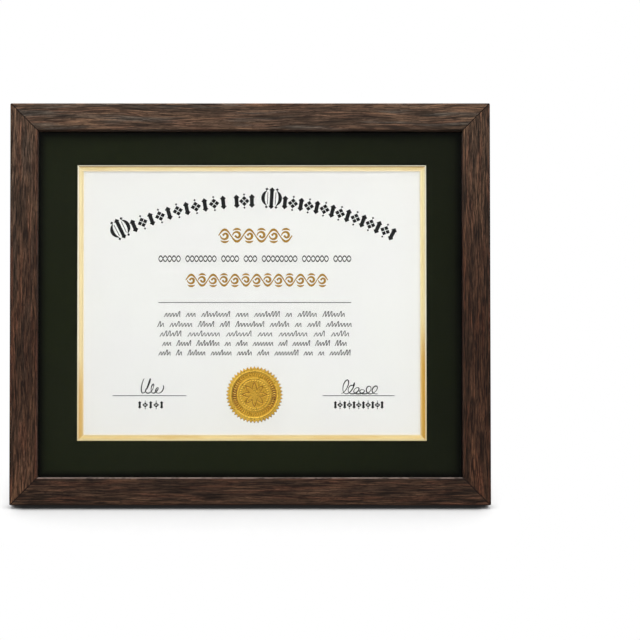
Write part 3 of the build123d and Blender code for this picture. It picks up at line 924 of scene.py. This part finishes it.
def tube_faces(first, steps, ring):
    """Faces of a closed tube from its first vertex on: steps between rings, and its two ends."""
    last = first + steps * ring
    faces = [[first + corner for corner in reversed(range(ring))]]
    for low in range(first, last, ring):
        faces += ring_faces(low, low + ring, ring)
    faces.append([last + corner for corner in range(ring)])
    return faces


# Printing on the sheet: ornament in the places of the words

INK_T = 0.04 * MM
SHEET_MIDDLE = (SHEET_LOW + SHEET_HIGH) / 2


def on_sheet(across, up, out):
    """A point given in millimetres from the sheet's middle, and out from its front in metres."""
    place = Vector((SHEET_MIDDLE.x + across * MM, SHEET_LOW.y - out, SHEET_MIDDLE.z + up * MM))
    return LEANED @ place


def as_drawn(x, y):
    """Lays what is drawn straight on the sheet."""
    return x, y


class Printing:
    """Flat shapes of ink on the sheet, gathered into one thin mesh."""

    def __init__(self):
        self.vertices = []
        self.faces = []

    def shape(self, outline, lay=as_drawn):
        """A thin prism whose outline runs anticlockwise and is laid on the sheet by lay."""
        self.faces += tube_faces(len(self.vertices), 1, len(outline))
        for out in (0.0, INK_T):
            self.vertices += [on_sheet(*lay(x, y), out) for x, y in outline]

    def stroke(self, path, widths, lay=as_drawn):
        """A closed strip along a path, with a width at each of its points."""
        last = len(path) - 1
        self.faces += tube_faces(len(self.vertices), last, 4)
        for index, (x, y) in enumerate(path):
            before = path[max(index - 1, 0)]
            after = path[min(index + 1, last)]
            run = math.dist(before, after)
            side_x = (before[1] - after[1]) / run * widths[index] / 2
            side_y = (after[0] - before[0]) / run * widths[index] / 2
            for side, out in ((1, 0.0), (1, INK_T), (-1, INK_T), (-1, 0.0)):
                self.vertices.append(on_sheet(*lay(x + side * side_x, y + side * side_y), out))

    def piece(self, name, finish):
        """The gathered shapes as one piece on the sheet."""
        made = make_piece(name, self.vertices, self.faces, finish)
        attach(made, "frame")
        return made


def arched(across, top, radius):
    """Lays strokes on an arc that is highest at across, top."""
    def lay(x, y):
        angle = x / radius
        return (
            across + (radius + y) * math.sin(angle),
            top - radius + (radius + y) * math.cos(angle),
        )
    return lay


def raised(up, lay=as_drawn):
    """Lays strokes higher by up."""
    return lambda x, y: lay(x, y + up)


def spear(ink_on, lay, x, low, high, width, point):
    """An upright with a lozenge for its head and another for its foot."""
    half = width / 2
    neck = 2 * point - half
    ink_on.shape([
        (x, low), (x + point, low + point), (x + half, low + neck),
        (x + half, high - neck), (x + point, high - point), (x, high),
        (x - point, high - point), (x - half, high - neck),
        (x - half, low + neck), (x - point, low + point),
    ], lay)


def lozenge(ink_on, lay, x, y, size):
    """A small diamond."""
    ink_on.shape([(x, y - size), (x + size, y), (x, y + size), (x - size, y)], lay)


def arc_path(x, y, radii, start_deg, end_deg, steps):
    """Points round x, y, from the first radius at the start to the second at the end."""
    path = []
    for step in range(steps + 1):
        share = step / steps
        radius = radii[0] + (radii[1] - radii[0]) * share
        angle = math.radians(start_deg + (end_deg - start_deg) * share)
        path.append((x + radius * math.cos(angle), y + radius * math.sin(angle)))
    return path


def swelling(thin, thick, count):
    """Widths that swell from thin at both ends to thick in the middle."""
    last = count - 1
    return [thin + (thick - thin) * math.sin(math.pi * index / last) for index in range(count)]


# Frieze of spears and lozenges: sizes as shares of its height
SPEAR_W_SHARE = 0.27
SPEAR_POINT_SHARE = 0.21
FOUR_SIZE_SHARE = 0.17
FOUR_REACH_SHARE = 0.2
TICK_SHARES = (0.02, 0.98)
FRIEZE_PITCH_SHARE = 1.2
FINIAL_GAP_SHARE = 0.12
# Its finial, as shares of the finial's height: its whole width; its spear's foot, head, width
# and point; its crescents' radius, place and widths; its lozenges' place, heights and size;
# and its hairlines' place, ends and width
FINIAL_W_SHARE = 0.86
FINIAL_SPEAR_SHARES = (-0.04, 1.04, 0.17, 0.13)
CRESCENT_R_SHARE = 0.46
CRESCENT_IN_SHARE = 0.05
CRESCENT_W_SHARES = (0.03, 0.17)
CRESCENT_HALF_DEG = 52
CRESCENT_STEPS = 16
CORNER_OUT_SHARE = 0.24
CORNER_UP_SHARES = (0.06, 0.94)
CORNER_SIZE_SHARE = 0.075
HAIR_OUT_SHARE = 0.19
HAIR_END_SHARES = (0.2, 0.8)
HAIR_W_SHARE = 0.03


def four_lozenges(ink_on, lay, x, height):
    """Four lozenges about a point halfway up, with thin ticks above and below."""
    reach = FOUR_REACH_SHARE * height
    size = FOUR_SIZE_SHARE * height
    for along, up in ((-reach, 0), (reach, 0), (0, -reach), (0, reach)):
        lozenge(ink_on, lay, x + along, height / 2 + up, size)
    for share in TICK_SHARES:
        lozenge(ink_on, lay, x, share * height, size / 2)


def finial(ink_on, lay, x, height):
    """A tall spear between two crescents and four lozenges, which starts a group."""
    spear(ink_on, lay, x, *[share * height for share in FINIAL_SPEAR_SHARES])
    radius = CRESCENT_R_SHARE * height
    thin, thick = [share * height for share in CRESCENT_W_SHARES]
    for side, way in ((-1, 180), (1, 0)):
        centre = x - side * CRESCENT_IN_SHARE * height
        turn = (way - CRESCENT_HALF_DEG, way + CRESCENT_HALF_DEG)
        path = arc_path(centre, height / 2, (radius, radius), *turn, CRESCENT_STEPS)
        ink_on.stroke(path, swelling(thin, thick, len(path)), lay)
        for share in CORNER_UP_SHARES:
            corner = x + side * CORNER_OUT_SHARE * height
            lozenge(ink_on, lay, corner, share * height, CORNER_SIZE_SHARE * height)
        hair = [(x + side * HAIR_OUT_SHARE * height, share * height) for share in HAIR_END_SHARES]
        ink_on.stroke(hair, [HAIR_W_SHARE * height] * 2, lay)


def frieze(ink_on, lay, start, end, height, finial_height=None):
    """Spears and groups of four lozenges by turns from start to end."""
    if finial_height:
        width = FINIAL_W_SHARE * finial_height
        finial(ink_on, lay, start + width / 2, finial_height)
        start += width + FINIAL_GAP_SHARE * height
    edge = SPEAR_POINT_SHARE * height
    length = end - start - 2 * edge
    pairs = max(1, round(length / (FRIEZE_PITCH_SHARE * height)))
    for index in range(2 * pairs + 1):
        x = start + edge + length * index / (2 * pairs)
        if index % 2:
            four_lozenges(ink_on, lay, x, height)
        else:
            spear(ink_on, lay, x, 0, height, SPEAR_W_SHARE * height, edge)


# Title arch, in millimetres: its arc, and along it each group's start, end and finial
TITLE_ACROSS = 2.0
TITLE_TOP = 77.2
TITLE_RADIUS = 239.0
TITLE_H = 11.2
TITLE_GROUPS = ((-115.8, -22.3, 16.4), (-16.4, 0.4, None), (6.5, 115.8, 16.4))


def title(ink_on):
    """The arched frieze in three groups."""
    lay = arched(TITLE_ACROSS, TITLE_TOP, TITLE_RADIUS)
    for start, end, finial_height in TITLE_GROUPS:
        frieze(ink_on, lay, start, end, TITLE_H, finial_height)


# Vine scroll. Shares of its height: a bend's length, the stem's thickness, where the leaves
# start from the edge, how thin the curls and the leaves get and how thick the leaves are, and
# the size of a curl's berry. Shares of a bend: the curls' radii and the leaves' radius. A
# share of the stem's thickness: how thin it gets.
VINE_PITCH_SHARE = 0.86
VINE_THICK_SHARE = 0.17
VINE_THIN_SHARE = 0.45
VINE_STEPS = 12
CURL_R_SHARES = (0.36, 0.12)
CURL_THIN_SHARE = 0.06
CURL_DEG = 330
CURL_STEPS = 22
BERRY_SHARE = 0.1
LEAF_FOOT_SHARE = 0.04
LEAF_R_SHARE = 0.5
LEAF_W_SHARES = (0.03, 0.15)
LEAF_TURN_DEG = (132, 48)
LEAF_STEPS = 10


def scroll(ink_on, middle, up, width, height):
    """A running vine: a waved stem with a curl in each of its bends and a leaf under it."""
    bends = round(width / (VINE_PITCH_SHARE * height))
    pitch = width / bends
    start = middle - width / 2
    centre = up + height / 2
    thick = VINE_THICK_SHARE * height
    path, widths = [], []
    for step in range(VINE_STEPS * bends + 1):
        wave = math.sin(math.pi * step / VINE_STEPS)
        path.append((start + step * pitch / VINE_STEPS, centre + (height - thick) / 2 * wave))
        widths.append(thick * (VINE_THIN_SHARE + (1 - VINE_THIN_SHARE) * wave ** 2))
    ink_on.stroke(path, widths)
    curl_radii = [share * pitch for share in CURL_R_SHARES]
    leaf_radius = LEAF_R_SHARE * pitch
    leaf_thin, leaf_thick = [share * height for share in LEAF_W_SHARES]
    for bend in range(bends):
        side = 1 if bend % 2 == 0 else -1
        x = start + (bend + 0.5) * pitch
        curl = arc_path(x, centre, curl_radii, 180, 180 + side * CURL_DEG, CURL_STEPS)
        ink_on.stroke(curl, swelling(CURL_THIN_SHARE * height, thick, len(curl)))
        lozenge(ink_on, as_drawn, *curl[-1], BERRY_SHARE * height)
        leaf_up = centre - side * (height / 2 - LEAF_FOOT_SHARE * height - leaf_radius)
        turn = [-side * angle for angle in LEAF_TURN_DEG]
        leaf = arc_path(x, leaf_up, (leaf_radius, leaf_radius), *turn, LEAF_STEPS)
        ink_on.stroke(leaf, swelling(leaf_thin, leaf_thick, len(leaf)))


# Chain of crossing waves: its gaps as a share of half its height, and its strokes' weight
# where the waves cross and what is added where they are furthest apart
CHAIN_GAP_SHARE = 1.7
CHAIN_STEPS = 8
CHAIN_WEIGHT_SHARES = (0.6, 0.6)


def chain(ink_on, middle, up, width, height, weight, groups):
    """Two crossing waves that part and meet, in groups like a row's words."""
    gap = CHAIN_GAP_SHARE * height / 2
    link = (width - gap * (len(groups) - 1)) / sum(groups)
    thin, more = [share * weight for share in CHAIN_WEIGHT_SHARES]
    x = middle - width / 2
    for count in groups:
        for side in (-1, 1):
            path, widths = [], []
            for step in range(CHAIN_STEPS * count + 1):
                wave = math.sin(math.pi * step / CHAIN_STEPS)
                path.append((x + step * link / CHAIN_STEPS, up + height / 2 * (1 + side * wave)))
                widths.append(thin + more * abs(wave))
            ink_on.stroke(path, widths)
        x += count * link + gap


# Rows of small waves: their gaps in waves, how often a stroke is tall and how tall it then is,
# and half the flat of each turn as a share of a wave
WAVE_GAP = 1.9
WAVE_TALL_CHANCE = 0.26
WAVE_TALL_SHARE = 1.6
WAVE_FLAT_SHARE = 0.1


def wave_row(ink_on, middle, up, width, height, weight, groups, slant, seed):
    """Slanting up and down strokes in groups like a line of small words."""
    chooser = random.Random(seed)
    pitch = width / (sum(groups) + WAVE_GAP * (len(groups) - 1))
    flat = WAVE_FLAT_SHARE * pitch
    x = middle - width / 2
    for count in groups:
        path = []
        for index in range(2 * count + 1):
            level = 0.0
            if index % 2:
                level = height if chooser.random() > WAVE_TALL_CHANCE else WAVE_TALL_SHARE * height
            turn = x + index * pitch / 2 + slant * level
            path += [(turn - flat, level), (turn + flat, level)]
        ink_on.stroke(path, [weight] * len(path), raised(up))
        x += (count + WAVE_GAP) * pitch


# Scribble: how long its tall start is, how tall its loops then are and how much and how often
# that changes, how far along it and to and fro it runs, its slant, and its strokes' weight
# in millimetres, thin and what is added where it swells, and how often that is
SCRIBBLE_STEPS = 16
SCRIBBLE_START_SHARE = 0.22
LOOP_H_SHARES = (0.46, 0.16)
LOOP_H_TURN = 11
SCRIBBLE_W_SHARES = (0.86, 0.09)
SCRIBBLE_SLANT = 0.3
SCRIBBLE_WEIGHTS = (0.45, 0.5)
SCRIBBLE_SWELLS = 7


def scribble(ink_on, middle, up, width, height, loops, seed):
    """A quick looping line in the place of a signature."""
    steps = SCRIBBLE_STEPS * loops
    loop_h, loop_change = LOOP_H_SHARES
    along, to_and_fro = [share * width for share in SCRIBBLE_W_SHARES]
    thin, more = SCRIBBLE_WEIGHTS
    path, widths = [], []
    for step in range(steps + 1):
        share = step / steps
        angle = 2 * math.pi * loops * share + seed
        tall = loop_h + loop_change * math.sin(LOOP_H_TURN * share + seed)
        if share < SCRIBBLE_START_SHARE:
            tall = 1.0
        rise = height * tall * (1 + math.sin(angle)) / 2
        across = (share - 0.5) * along + to_and_fro * math.cos(angle)
        path.append((middle + across + SCRIBBLE_SLANT * rise, up + rise))
        widths.append(thin + more * abs(math.sin(SCRIBBLE_SWELLS * math.pi * share)))
    ink_on.stroke(path, widths)


# Rows in millimetres from the sheet's middle: middle, foot, width and height of each
SCROLLS = ((2.8, 48.9, 59.5, 11.6), (4.0, 13.2, 115.0, 10.6))
CHAIN = (2.4, 33.6, 156.0, 4.6, 0.8, (5, 7, 4, 3, 8, 6, 4))
TEXT_MIDDLE = 2.0
TEXT_H = 2.7
TEXT_WEIGHT = 0.56
TEXT_SLANT = 0.25
TEXT_SEED = 20
# Each row of small waves: its foot, its width, and how many waves are in each group
TEXT_ROWS = (
    (-11.0, 146.0, (5, 3, 9, 4, 8, 2, 6, 7)),
    (-19.1, 157.0, (2, 7, 5, 3, 9, 6, 2, 4, 8)),
    (-26.8, 153.0, (6, 9, 7, 4, 8, 3, 5)),
    (-34.5, 149.0, (3, 5, 8, 2, 4, 7, 3, 6, 5, 4)),
    (-42.2, 155.0, (4, 2, 6, 7, 5, 4, 8, 3, 2, 7)),
)
RULE_T = 0.55
RULES = ((2.4, 0.4, 156.0), (-82.8, -75.0, 59.6), (86.3, -75.0, 58.0))
HANDS = ((-81.6, -73.0, 19.5, 12.4, 4, 2), (86.2, -73.6, 34.0, 11.4, 6, 5))
LABELS = ((-92.0, -71.6, -85.6, 6.3), (66.2, 106.6, -85.6, 6.3))
# Inks: colour, metal and roughness
INK_BLACK = ((10, 10, 11), 0.0, 0.6)
INK_GOLD = ((166, 124, 32), 0.1, 0.45)


def print_black():
    """All that is printed in black."""
    ink_on = Printing()
    title(ink_on)
    chain(ink_on, *CHAIN)
    for seed, (foot, width, groups) in enumerate(TEXT_ROWS, TEXT_SEED):
        row = (TEXT_MIDDLE, foot, width, TEXT_H, TEXT_WEIGHT, groups, TEXT_SLANT, seed)
        wave_row(ink_on, *row)
    for middle, up, width in RULES:
        ends = [(middle - width / 2, up), (middle + width / 2, up)]
        ink_on.stroke(ends, [RULE_T, RULE_T])
    for hand in HANDS:
        scribble(ink_on, *hand)
    for start, end, foot, height in LABELS:
        frieze(ink_on, raised(foot), start, end, height)
    ink_on.piece("printing_black", material("ink_black", ink, *INK_BLACK))


def print_gold():
    """The two scrolls printed in gold."""
    ink_on = Printing()
    for row in SCROLLS:
        scroll(ink_on, *row)
    ink_on.piece("printing_gold", material("ink_gold", ink, *INK_GOLD))


print_black()
print_gold()


# Foil seal: a round relief with a serrated edge

SEAL_MIDDLE = (SEAL_LOW + SEAL_HIGH) / 2
SEAL_TIP_R = (SEAL_HIGH.x - SEAL_LOW.x) / 2
SEAL_TEETH = 48
SEAL_TOOTH = 2.1 * MM
SEAL_BASE_T = 0.1 * MM
SEAL_RELIEF = SEAL_HIGH.y - SEAL_LOW.y - SEAL_BASE_T
SEAL_TOOTH_STEPS = 12
SEAL_AROUND = SEAL_TEETH * SEAL_TOOTH_STEPS
SEAL_STEPS = 84
SEAL_EDGE_STEPS = 1.5
# Heights here are shares of the relief: the flat ground, the lowest hollow, the rim and rings
SEAL_FLAT_SHARE = 0.5
SEAL_LOW_SHARE = 0.02
SEAL_RIM_SHARE = 0.12
RIM_RING_R = 18.9 * MM
RIM_RING_SHARE = 0.24
INNER_RING_R = 13.2 * MM
INNER_RING_SHARE = 0.14
RING_W = 0.8 * MM
FIELD_INSET = 0.5 * MM
# Leaves: their band, their count and sizes, how far they slant, how wide they are, how high
# they stand and how deep the band is sunk, how faint they are at the top and the foot, and
# how much stronger at the sides
MARK_BAND_R = (14.4 * MM, 17.6 * MM)
MARK_COUNT = 56
MARK_SIZE_SHARES = (0.45, 1.0)
MARK_SLANT_SHARE = 0.4
MARK_W_SHARE = 0.32
MARK_H_SHARE = 0.9
MARK_SUNK_SHARE = 0.36
MARK_FAINT_SHARE = 0.22
MARK_STRONG_SHARE = 1.2
MARK_FADE_POWER = 4
# Star: its reach, how far in its hollows lie, its height, how low its flanks fall and how low
# the ground is, and the groove round it
STAR_R = 9.8 * MM
STAR_POINTS = 8
STAR_HOLLOW_SHARE = 0.55
STAR_H_SHARE = 0.1
STAR_FLANK_SHARE = 0.6
STAR_GROUND_SHARE = 0.02
STAR_GROOVE_SHARE = 0.4
STAR_GROOVE_W = 1.2 * MM
BEAD_COUNT = 36
BEAD_R = 11.3 * MM
BEAD_HALF_W = 0.6 * MM
BEAD_LENGTH_SHARE = 0.42
BEAD_H_SHARE = 0.26


def ridge(distance, width):
    """A rounded ridge of height 1, that is width wide."""
    share = abs(distance) / (width / 2)
    return math.sqrt(1 - share * share) if share < 1 else 0.0


def off_middle(turn):
    """How far a turn is from the middle of its step, from 0 to 0.5."""
    return abs(turn % 1 - 0.5)


def mark_sizes():
    """The uneven sizes of the leaves."""
    chooser = random.Random(MARK_COUNT)
    return [chooser.uniform(*MARK_SIZE_SHARES) for _ in range(MARK_COUNT)]


MARK_SIZES = mark_sizes()


def leaf_marks(radius, angle):
    """A wreath of slanting leaves of uneven sizes in a sunken band."""
    low, high = MARK_BAND_R
    share = (radius - low) / (high - low)
    if not 0 < share < 1:
        return 0.0
    turn = angle * MARK_COUNT / (2 * math.pi) + MARK_SLANT_SHARE * abs(2 * share - 1)
    size = MARK_SIZES[int(turn) % MARK_COUNT]
    mark = size * max(0.0, 1 - off_middle(turn) / MARK_W_SHARE) * math.sqrt(math.sin(math.pi * share))
    strength = MARK_FAINT_SHARE + MARK_STRONG_SHARE * math.cos(angle) ** MARK_FADE_POWER
    return (MARK_H_SHARE * mark - MARK_SUNK_SHARE) * strength


def star(radius, angle):
    """A faceted star with eight points, its ridges along the points, in a groove."""
    sector = 2 * math.pi / STAR_POINTS
    off = 1 - 2 * off_middle(angle / sector)
    reach = STAR_R * (1 - STAR_HOLLOW_SHARE * off)
    groove = STAR_GROOVE_SHARE * ridge(radius - reach, STAR_GROOVE_W)
    if radius > reach:
        return STAR_GROUND_SHARE - groove
    return STAR_H_SHARE * (1 - radius / reach) * (1 - STAR_FLANK_SHARE * off) - groove


def beads(radius, angle):
    """A ring of small round beads."""
    along = off_middle(angle * BEAD_COUNT / (2 * math.pi)) / BEAD_LENGTH_SHARE
    across = abs(radius - BEAD_R) / BEAD_HALF_W
    return BEAD_H_SHARE * max(0.0, 1 - math.hypot(along, across) ** 2)


def seal_relief(radius, angle):
    """The relief's height, from 0 to 1, at a place on the seal."""
    height = SEAL_FLAT_SHARE + leaf_marks(radius, angle)
    if radius > RIM_RING_R:
        height += SEAL_RIM_SHARE
    for ring_r, share in ((RIM_RING_R, RIM_RING_SHARE), (INNER_RING_R, INNER_RING_SHARE)):
        height += share * ridge(radius - ring_r, RING_W)
    if radius < INNER_RING_R - FIELD_INSET:
        height += star(radius, angle) + beads(radius, angle)
    return min(max(height, SEAL_LOW_SHARE), 1.0)


def on_seal(across, up, out):
    """A place on the seal, from its middle on the sheet."""
    return LEANED @ Vector((SEAL_MIDDLE.x + across, SHEET_LOW.y - out, SEAL_MIDDLE.z + up))


def foil_seal():
    """The seal as one closed relief, in the place of its CAD solid."""
    vertices, faces, rim = [], [], []
    for step in range(SEAL_STEPS + 1):
        fall = min(1.0, (SEAL_STEPS - step) / SEAL_EDGE_STEPS)
        for turn in range(SEAL_AROUND):
            angle = 2 * math.pi * turn / SEAL_AROUND
            tooth = 2 * off_middle(turn / SEAL_TOOTH_STEPS)
            radius = (SEAL_TIP_R - SEAL_TOOTH * (1 - tooth)) * step / SEAL_STEPS
            across, up = radius * math.cos(angle), radius * math.sin(angle)
            out = SEAL_BASE_T + SEAL_RELIEF * seal_relief(radius, angle) * fall
            vertices.append(on_seal(across, up, out))
            if step == SEAL_STEPS:
                rim.append(on_seal(across, up, 0.0))
    vertices += rim
    for step in range(SEAL_STEPS + 1):
        faces += ring_faces(step * SEAL_AROUND, (step + 1) * SEAL_AROUND, SEAL_AROUND)
    faces.append([len(vertices) - 1 - turn for turn in range(SEAL_AROUND)])
    finish = FINISHES["gold_foil"]
    seal = make_piece("foil_seal_relief", vertices, faces, finish, smooth=True)
    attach(seal, "frame")
    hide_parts("foil_seal")


foil_seal()


# Stay ribbon between the back panel and the leg

RIBBON_W = 10 * MM
RIBBON_T = 0.4 * MM
RIBBON_TAB = 12 * MM
RIBBON_STEP = 1.5 * MM
RIBBON_BEND_SHARE = 0.12
BEND_STEPS = 4
# The ribbon's section: places across as shares of half its width, and shares of its thickness
RIBBON_SECTION_SHARES = ((-1, 0.55), (-0.93, 0.95), (-0.8, 0.8), (0.8, 0.8), (0.93, 0.95), (1, 0.55))


def joint(name):
    """One of the frame's joints as the record gives it."""
    return next(entry for entry in frame["record"]["behaviour"]["joints"] if entry["name"] == name)


def node_middle(name):
    """The middle of a node's box in the row's frame."""
    low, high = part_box(name)
    return (Vector(low) + Vector(high)) / 2


def ribbon_line():
    """The middle line: down the panel under its eyelet, across, and down the leg."""
    fold = joint("easel_fold")
    opened = Matrix.Rotation(math.radians(-fold["range_deg"][0]), 3, "X")
    panel_down = LEANED.to_3x3() @ Vector((0, 0, -1))
    panel_out = LEANED.to_3x3() @ Vector((0, 1, 0))
    leg_down = opened @ panel_down
    leg_in = opened @ -panel_out
    pin = Vector(fold["pos_m"])
    panel_eyelet = node_middle("ribbon_eyelet_panel")
    leg_eyelet = node_middle("ribbon_eyelet_leg")
    _, panel_high = box_along(LEANED, "back_panel")
    panel_shift = panel_high.y + RIBBON_T / 2 - (LEANED.inverted() @ panel_eyelet).y
    panel_middle = panel_eyelet + panel_out * panel_shift
    leg_face = max((vertex.co - pin).dot(leg_in) for vertex in NODES["easel_leg"].data.vertices)
    leg_shift = leg_face + RIBBON_T / 2 - (leg_eyelet - pin).dot(leg_in)
    leg_middle = leg_eyelet + leg_in * leg_shift
    half = RIBBON_TAB / 2
    return [
        panel_middle - panel_down * half,
        panel_middle + panel_down * half,
        leg_middle - leg_down * half,
        leg_middle + leg_down * half,
    ]


def eased_line(points):
    """Close points along the line, with each bend eased by a short curve."""
    line = []
    for index, point in enumerate(points):
        if index in (0, len(points) - 1):
            line.append(point)
            continue
        before, after = points[index - 1], points[index + 1]
        reach = min((point - before).length, (after - point).length) * RIBBON_BEND_SHARE
        start = point + (before - point).normalized() * reach
        end = point + (after - point).normalized() * reach
        for step in range(BEND_STEPS + 1):
            share = step / BEND_STEPS
            line.append(start.lerp(point, share).lerp(point.lerp(end, share), share))
    filled = [line[0]]
    for before, after in zip(line, line[1:]):
        steps = max(1, math.ceil((after - before).length / RIBBON_STEP))
        filled += [before.lerp(after, step / steps) for step in range(1, steps + 1)]
    return filled


def stay_ribbon():
    """A woven band with firm selvedges, from the back panel to the opened leg."""
    points = ribbon_line()
    line = eased_line(points)
    across = Vector((1, 0, 0))
    vertices = []
    for index, point in enumerate(line):
        along = line[min(index + 1, len(line) - 1)] - line[max(index - 1, 0)]
        normal = across.cross(along).normalized()
        for side in (1, -1):
            for place, thick in RIBBON_SECTION_SHARES[::side]:
                out = side * thick * RIBBON_T / 2
                vertices.append(point + across * place * RIBBON_W / 2 + normal * out)
    faces = tube_faces(0, len(line) - 1, 2 * len(RIBBON_SECTION_SHARES))
    ribbon = make_piece("stay_ribbon_woven", vertices, faces, FINISHES["ribbon"])
    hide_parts("stay_ribbon")
    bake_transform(ribbon)


stay_ribbon()


# Floor, light and camera

# Floor, in metres: its width; how far from the footprint it turns plain white, and how many
# times sooner at the sides; its level in gloss; its grey, and the width and the grey of its
# painted contact shade; and how white it already is at the footprint
FLOOR_W = 60.0
FLOOR_FAR = 0.12
FLOOR_SIDE_FADE = 6
FLOOR_GLOSS = 0.15
FLOOR_GREY = 0.8
FLOOR_CONTACT = 12 * MM
FLOOR_CONTACT_GREY = 0.2
FLOOR_HAZE = 0.014
FLOOR_HALF_W = FRAME_W / 2
FLOOR_HALF_D = (cad_box[1][1] - cad_box[0][1]) / 2


def empty_tree(owner):
    """The node tree of a material or a world, with nothing in it."""
    owner.use_nodes = True
    owner.node_tree.nodes.clear()
    return owner.node_tree


def beyond(value, half):
    """How far a coordinate lies outside half of the footprint, and less than zero inside it."""
    return minus(absolute(value), half)


def white_floor():
    """A white floor that keeps the shadows near the object and is plain white further off."""
    made = bpy.data.materials.new("white_floor")
    tree = empty_tree(made)
    at = at_rest(tree)
    over_x = beyond(part_of(at, "X"), FLOOR_HALF_W)
    over_y = largest(beyond(part_of(at, "Y"), FLOOR_HALF_D), 0.0)
    middle = spread(over_x, -FLOOR_CONTACT, 0.0, 1.0, 0.0)
    over_x = times(largest(over_x, 0.0), FLOOR_SIDE_FADE)
    over = joined("CombineXYZ", {"X": over_x, "Y": over_y}).outputs["Vector"]
    far = spread(on_vectors("LENGTH", {0: over}, "Value"), 0.0, FLOOR_FAR, FLOOR_HAZE, 1.0)

    # White for the camera, for what glass shows and for what gloss mirrors, and not for light
    path = add(tree, "LightPath").outputs
    seen = largest(path["Is Camera Ray"], path["Is Glossy Ray"], path["Is Transmission Ray"])
    # Painted contact shade: near the frame the floor's grey is darkened by ambient occlusion
    open_share = add(tree, "AmbientOcclusion", {"Distance": FLOOR_CONTACT}).outputs["AO"]
    open_share = between(middle, 1.0, open_share)
    grey = spread(open_share, 0.0, 1.0, FLOOR_CONTACT_GREY, FLOOR_GREY)
    diffuse = joined("BsdfDiffuse", {"Color": grey})
    mirrored = largest(minus(path["Is Glossy Ray"], path["Is Transmission Ray"]), 0.0)
    level = between(mirrored, 1.0, FLOOR_GLOSS)
    white = joined("Emission", {"Color": WHITE, "Strength": level})
    mix = joined("MixShader", {"Fac": times(far, seen), 1: diffuse.outputs[0], 2: white.outputs[0]})
    joined("OutputMaterial", {"Surface": mix.outputs[0]})
    return made


def make_floor():
    """The table that the frame stands on."""
    bpy.ops.mesh.primitive_plane_add(size=FLOOR_W, location=(0, 0, 0))
    floor = bpy.context.object
    floor.name = "floor"
    floor.data.materials.append(white_floor())


# Light of the world, by how far up its direction runs, and what gloss sees of the room, by how
# far back and how far up: where each begins and is full, and its level at both
SKY_SPREAD = (0.0, 0.9, 0.25, 0.9)
ROOM_SPREAD = (-0.45, 0.1, 0.06, 0.6)
OVERHEAD_SPREAD = (0.0, 0.8, 0.5, 1.4)


def make_world():
    """White behind the object, light that grows upwards, and a dim room before its glass."""
    world = bpy.data.worlds.new("studio")
    bpy.context.scene.world = world
    tree = empty_tree(world)
    path = add(tree, "LightPath").outputs
    direction = add(tree, "TexCoord").outputs["Generated"]
    upward = part_of(direction, "Z")
    mirrored = spread(part_of(direction, "Y"), *ROOM_SPREAD)
    mirrored = times(mirrored, spread(upward, *OVERHEAD_SPREAD))
    plain = largest(path["Is Camera Ray"], path["Is Transmission Ray"])
    level = between(plain, spread(upward, *SKY_SPREAD), 1.0)
    level = between(path["Is Glossy Ray"], level, mirrored)
    background = joined("Background", {"Color": WHITE, "Strength": level})
    joined("OutputWorld", {"Surface": background.outputs[0]})


FRAME_CENTRE = LEANED @ Vector((0, BOTTOM_LOW.y, FRAME_H / 2))
# Lamps: azimuth and elevation in degrees, distance, width and height in metres, and the share
# that each gives of a full level of light
LAMPS = {
    "key_above": (0, 42, 1.9, (2.2, 1.5), 0.695),
    "fill_right": (48, 36, 1.9, (0.9, 1.1), 0.175),
    "fill_left": (-52, 36, 1.9, (0.6, 0.9), 0.08),
    "rear_above": (180, 55, 2.0, (2.2, 1.2), 0.5),
}


def aimed(name, data, place, away):
    """An object at a place that looks back along a direction, with its top up."""
    made = bpy.data.objects.new(name, data)
    bpy.context.scene.collection.objects.link(made)
    made.location = place
    made.rotation_mode = "QUATERNION"
    made.rotation_quaternion = (-away).to_track_quat("-Z", "Y")
    return made


def softbox(name, azimuth_deg, elevation_deg, distance, size, share):
    """A soft lamp aimed at the frame that gives this share of a full level of light."""
    lamp = bpy.data.lights.new(name, "AREA")
    lamp.shape = "RECTANGLE"
    lamp.size, lamp.size_y = size
    lamp.energy = share * (math.pi * distance) ** 2
    azimuth = math.radians(azimuth_deg)
    elevation = math.radians(elevation_deg)
    away = Vector((
        math.sin(azimuth) * math.cos(elevation),
        -math.cos(azimuth) * math.cos(elevation),
        math.sin(elevation),
    ))
    aimed(name, lamp, FRAME_CENTRE + away * distance, away)


def make_camera():
    """The photograph's camera, square to the frame's middle and shifted to its place."""
    data = bpy.data.cameras.new("camera")
    data.sensor_width = SENSOR
    data.lens = SENSOR * CAMERA_DISTANCE / VIEW_W
    data.shift_x = (PHOTO_W / 2 - FRAME_MIDDLE_X) / PHOTO_W
    elevation = math.radians(CAMERA_ELEVATION_DEG)
    away = Vector((0, -math.cos(elevation), math.sin(elevation)))
    upward = Vector((0, math.sin(elevation), math.cos(elevation)))
    place = FRAME_CENTRE - upward * AIM_DROP + away * CAMERA_DISTANCE
    bpy.context.scene.camera = aimed("camera", data, place, away)


make_floor()
make_world()
for lamp_name, lamp_row in LAMPS.items():
    softbox(lamp_name, *lamp_row)
make_camera()
bpy.context.scene.view_settings.view_transform = "Standard"
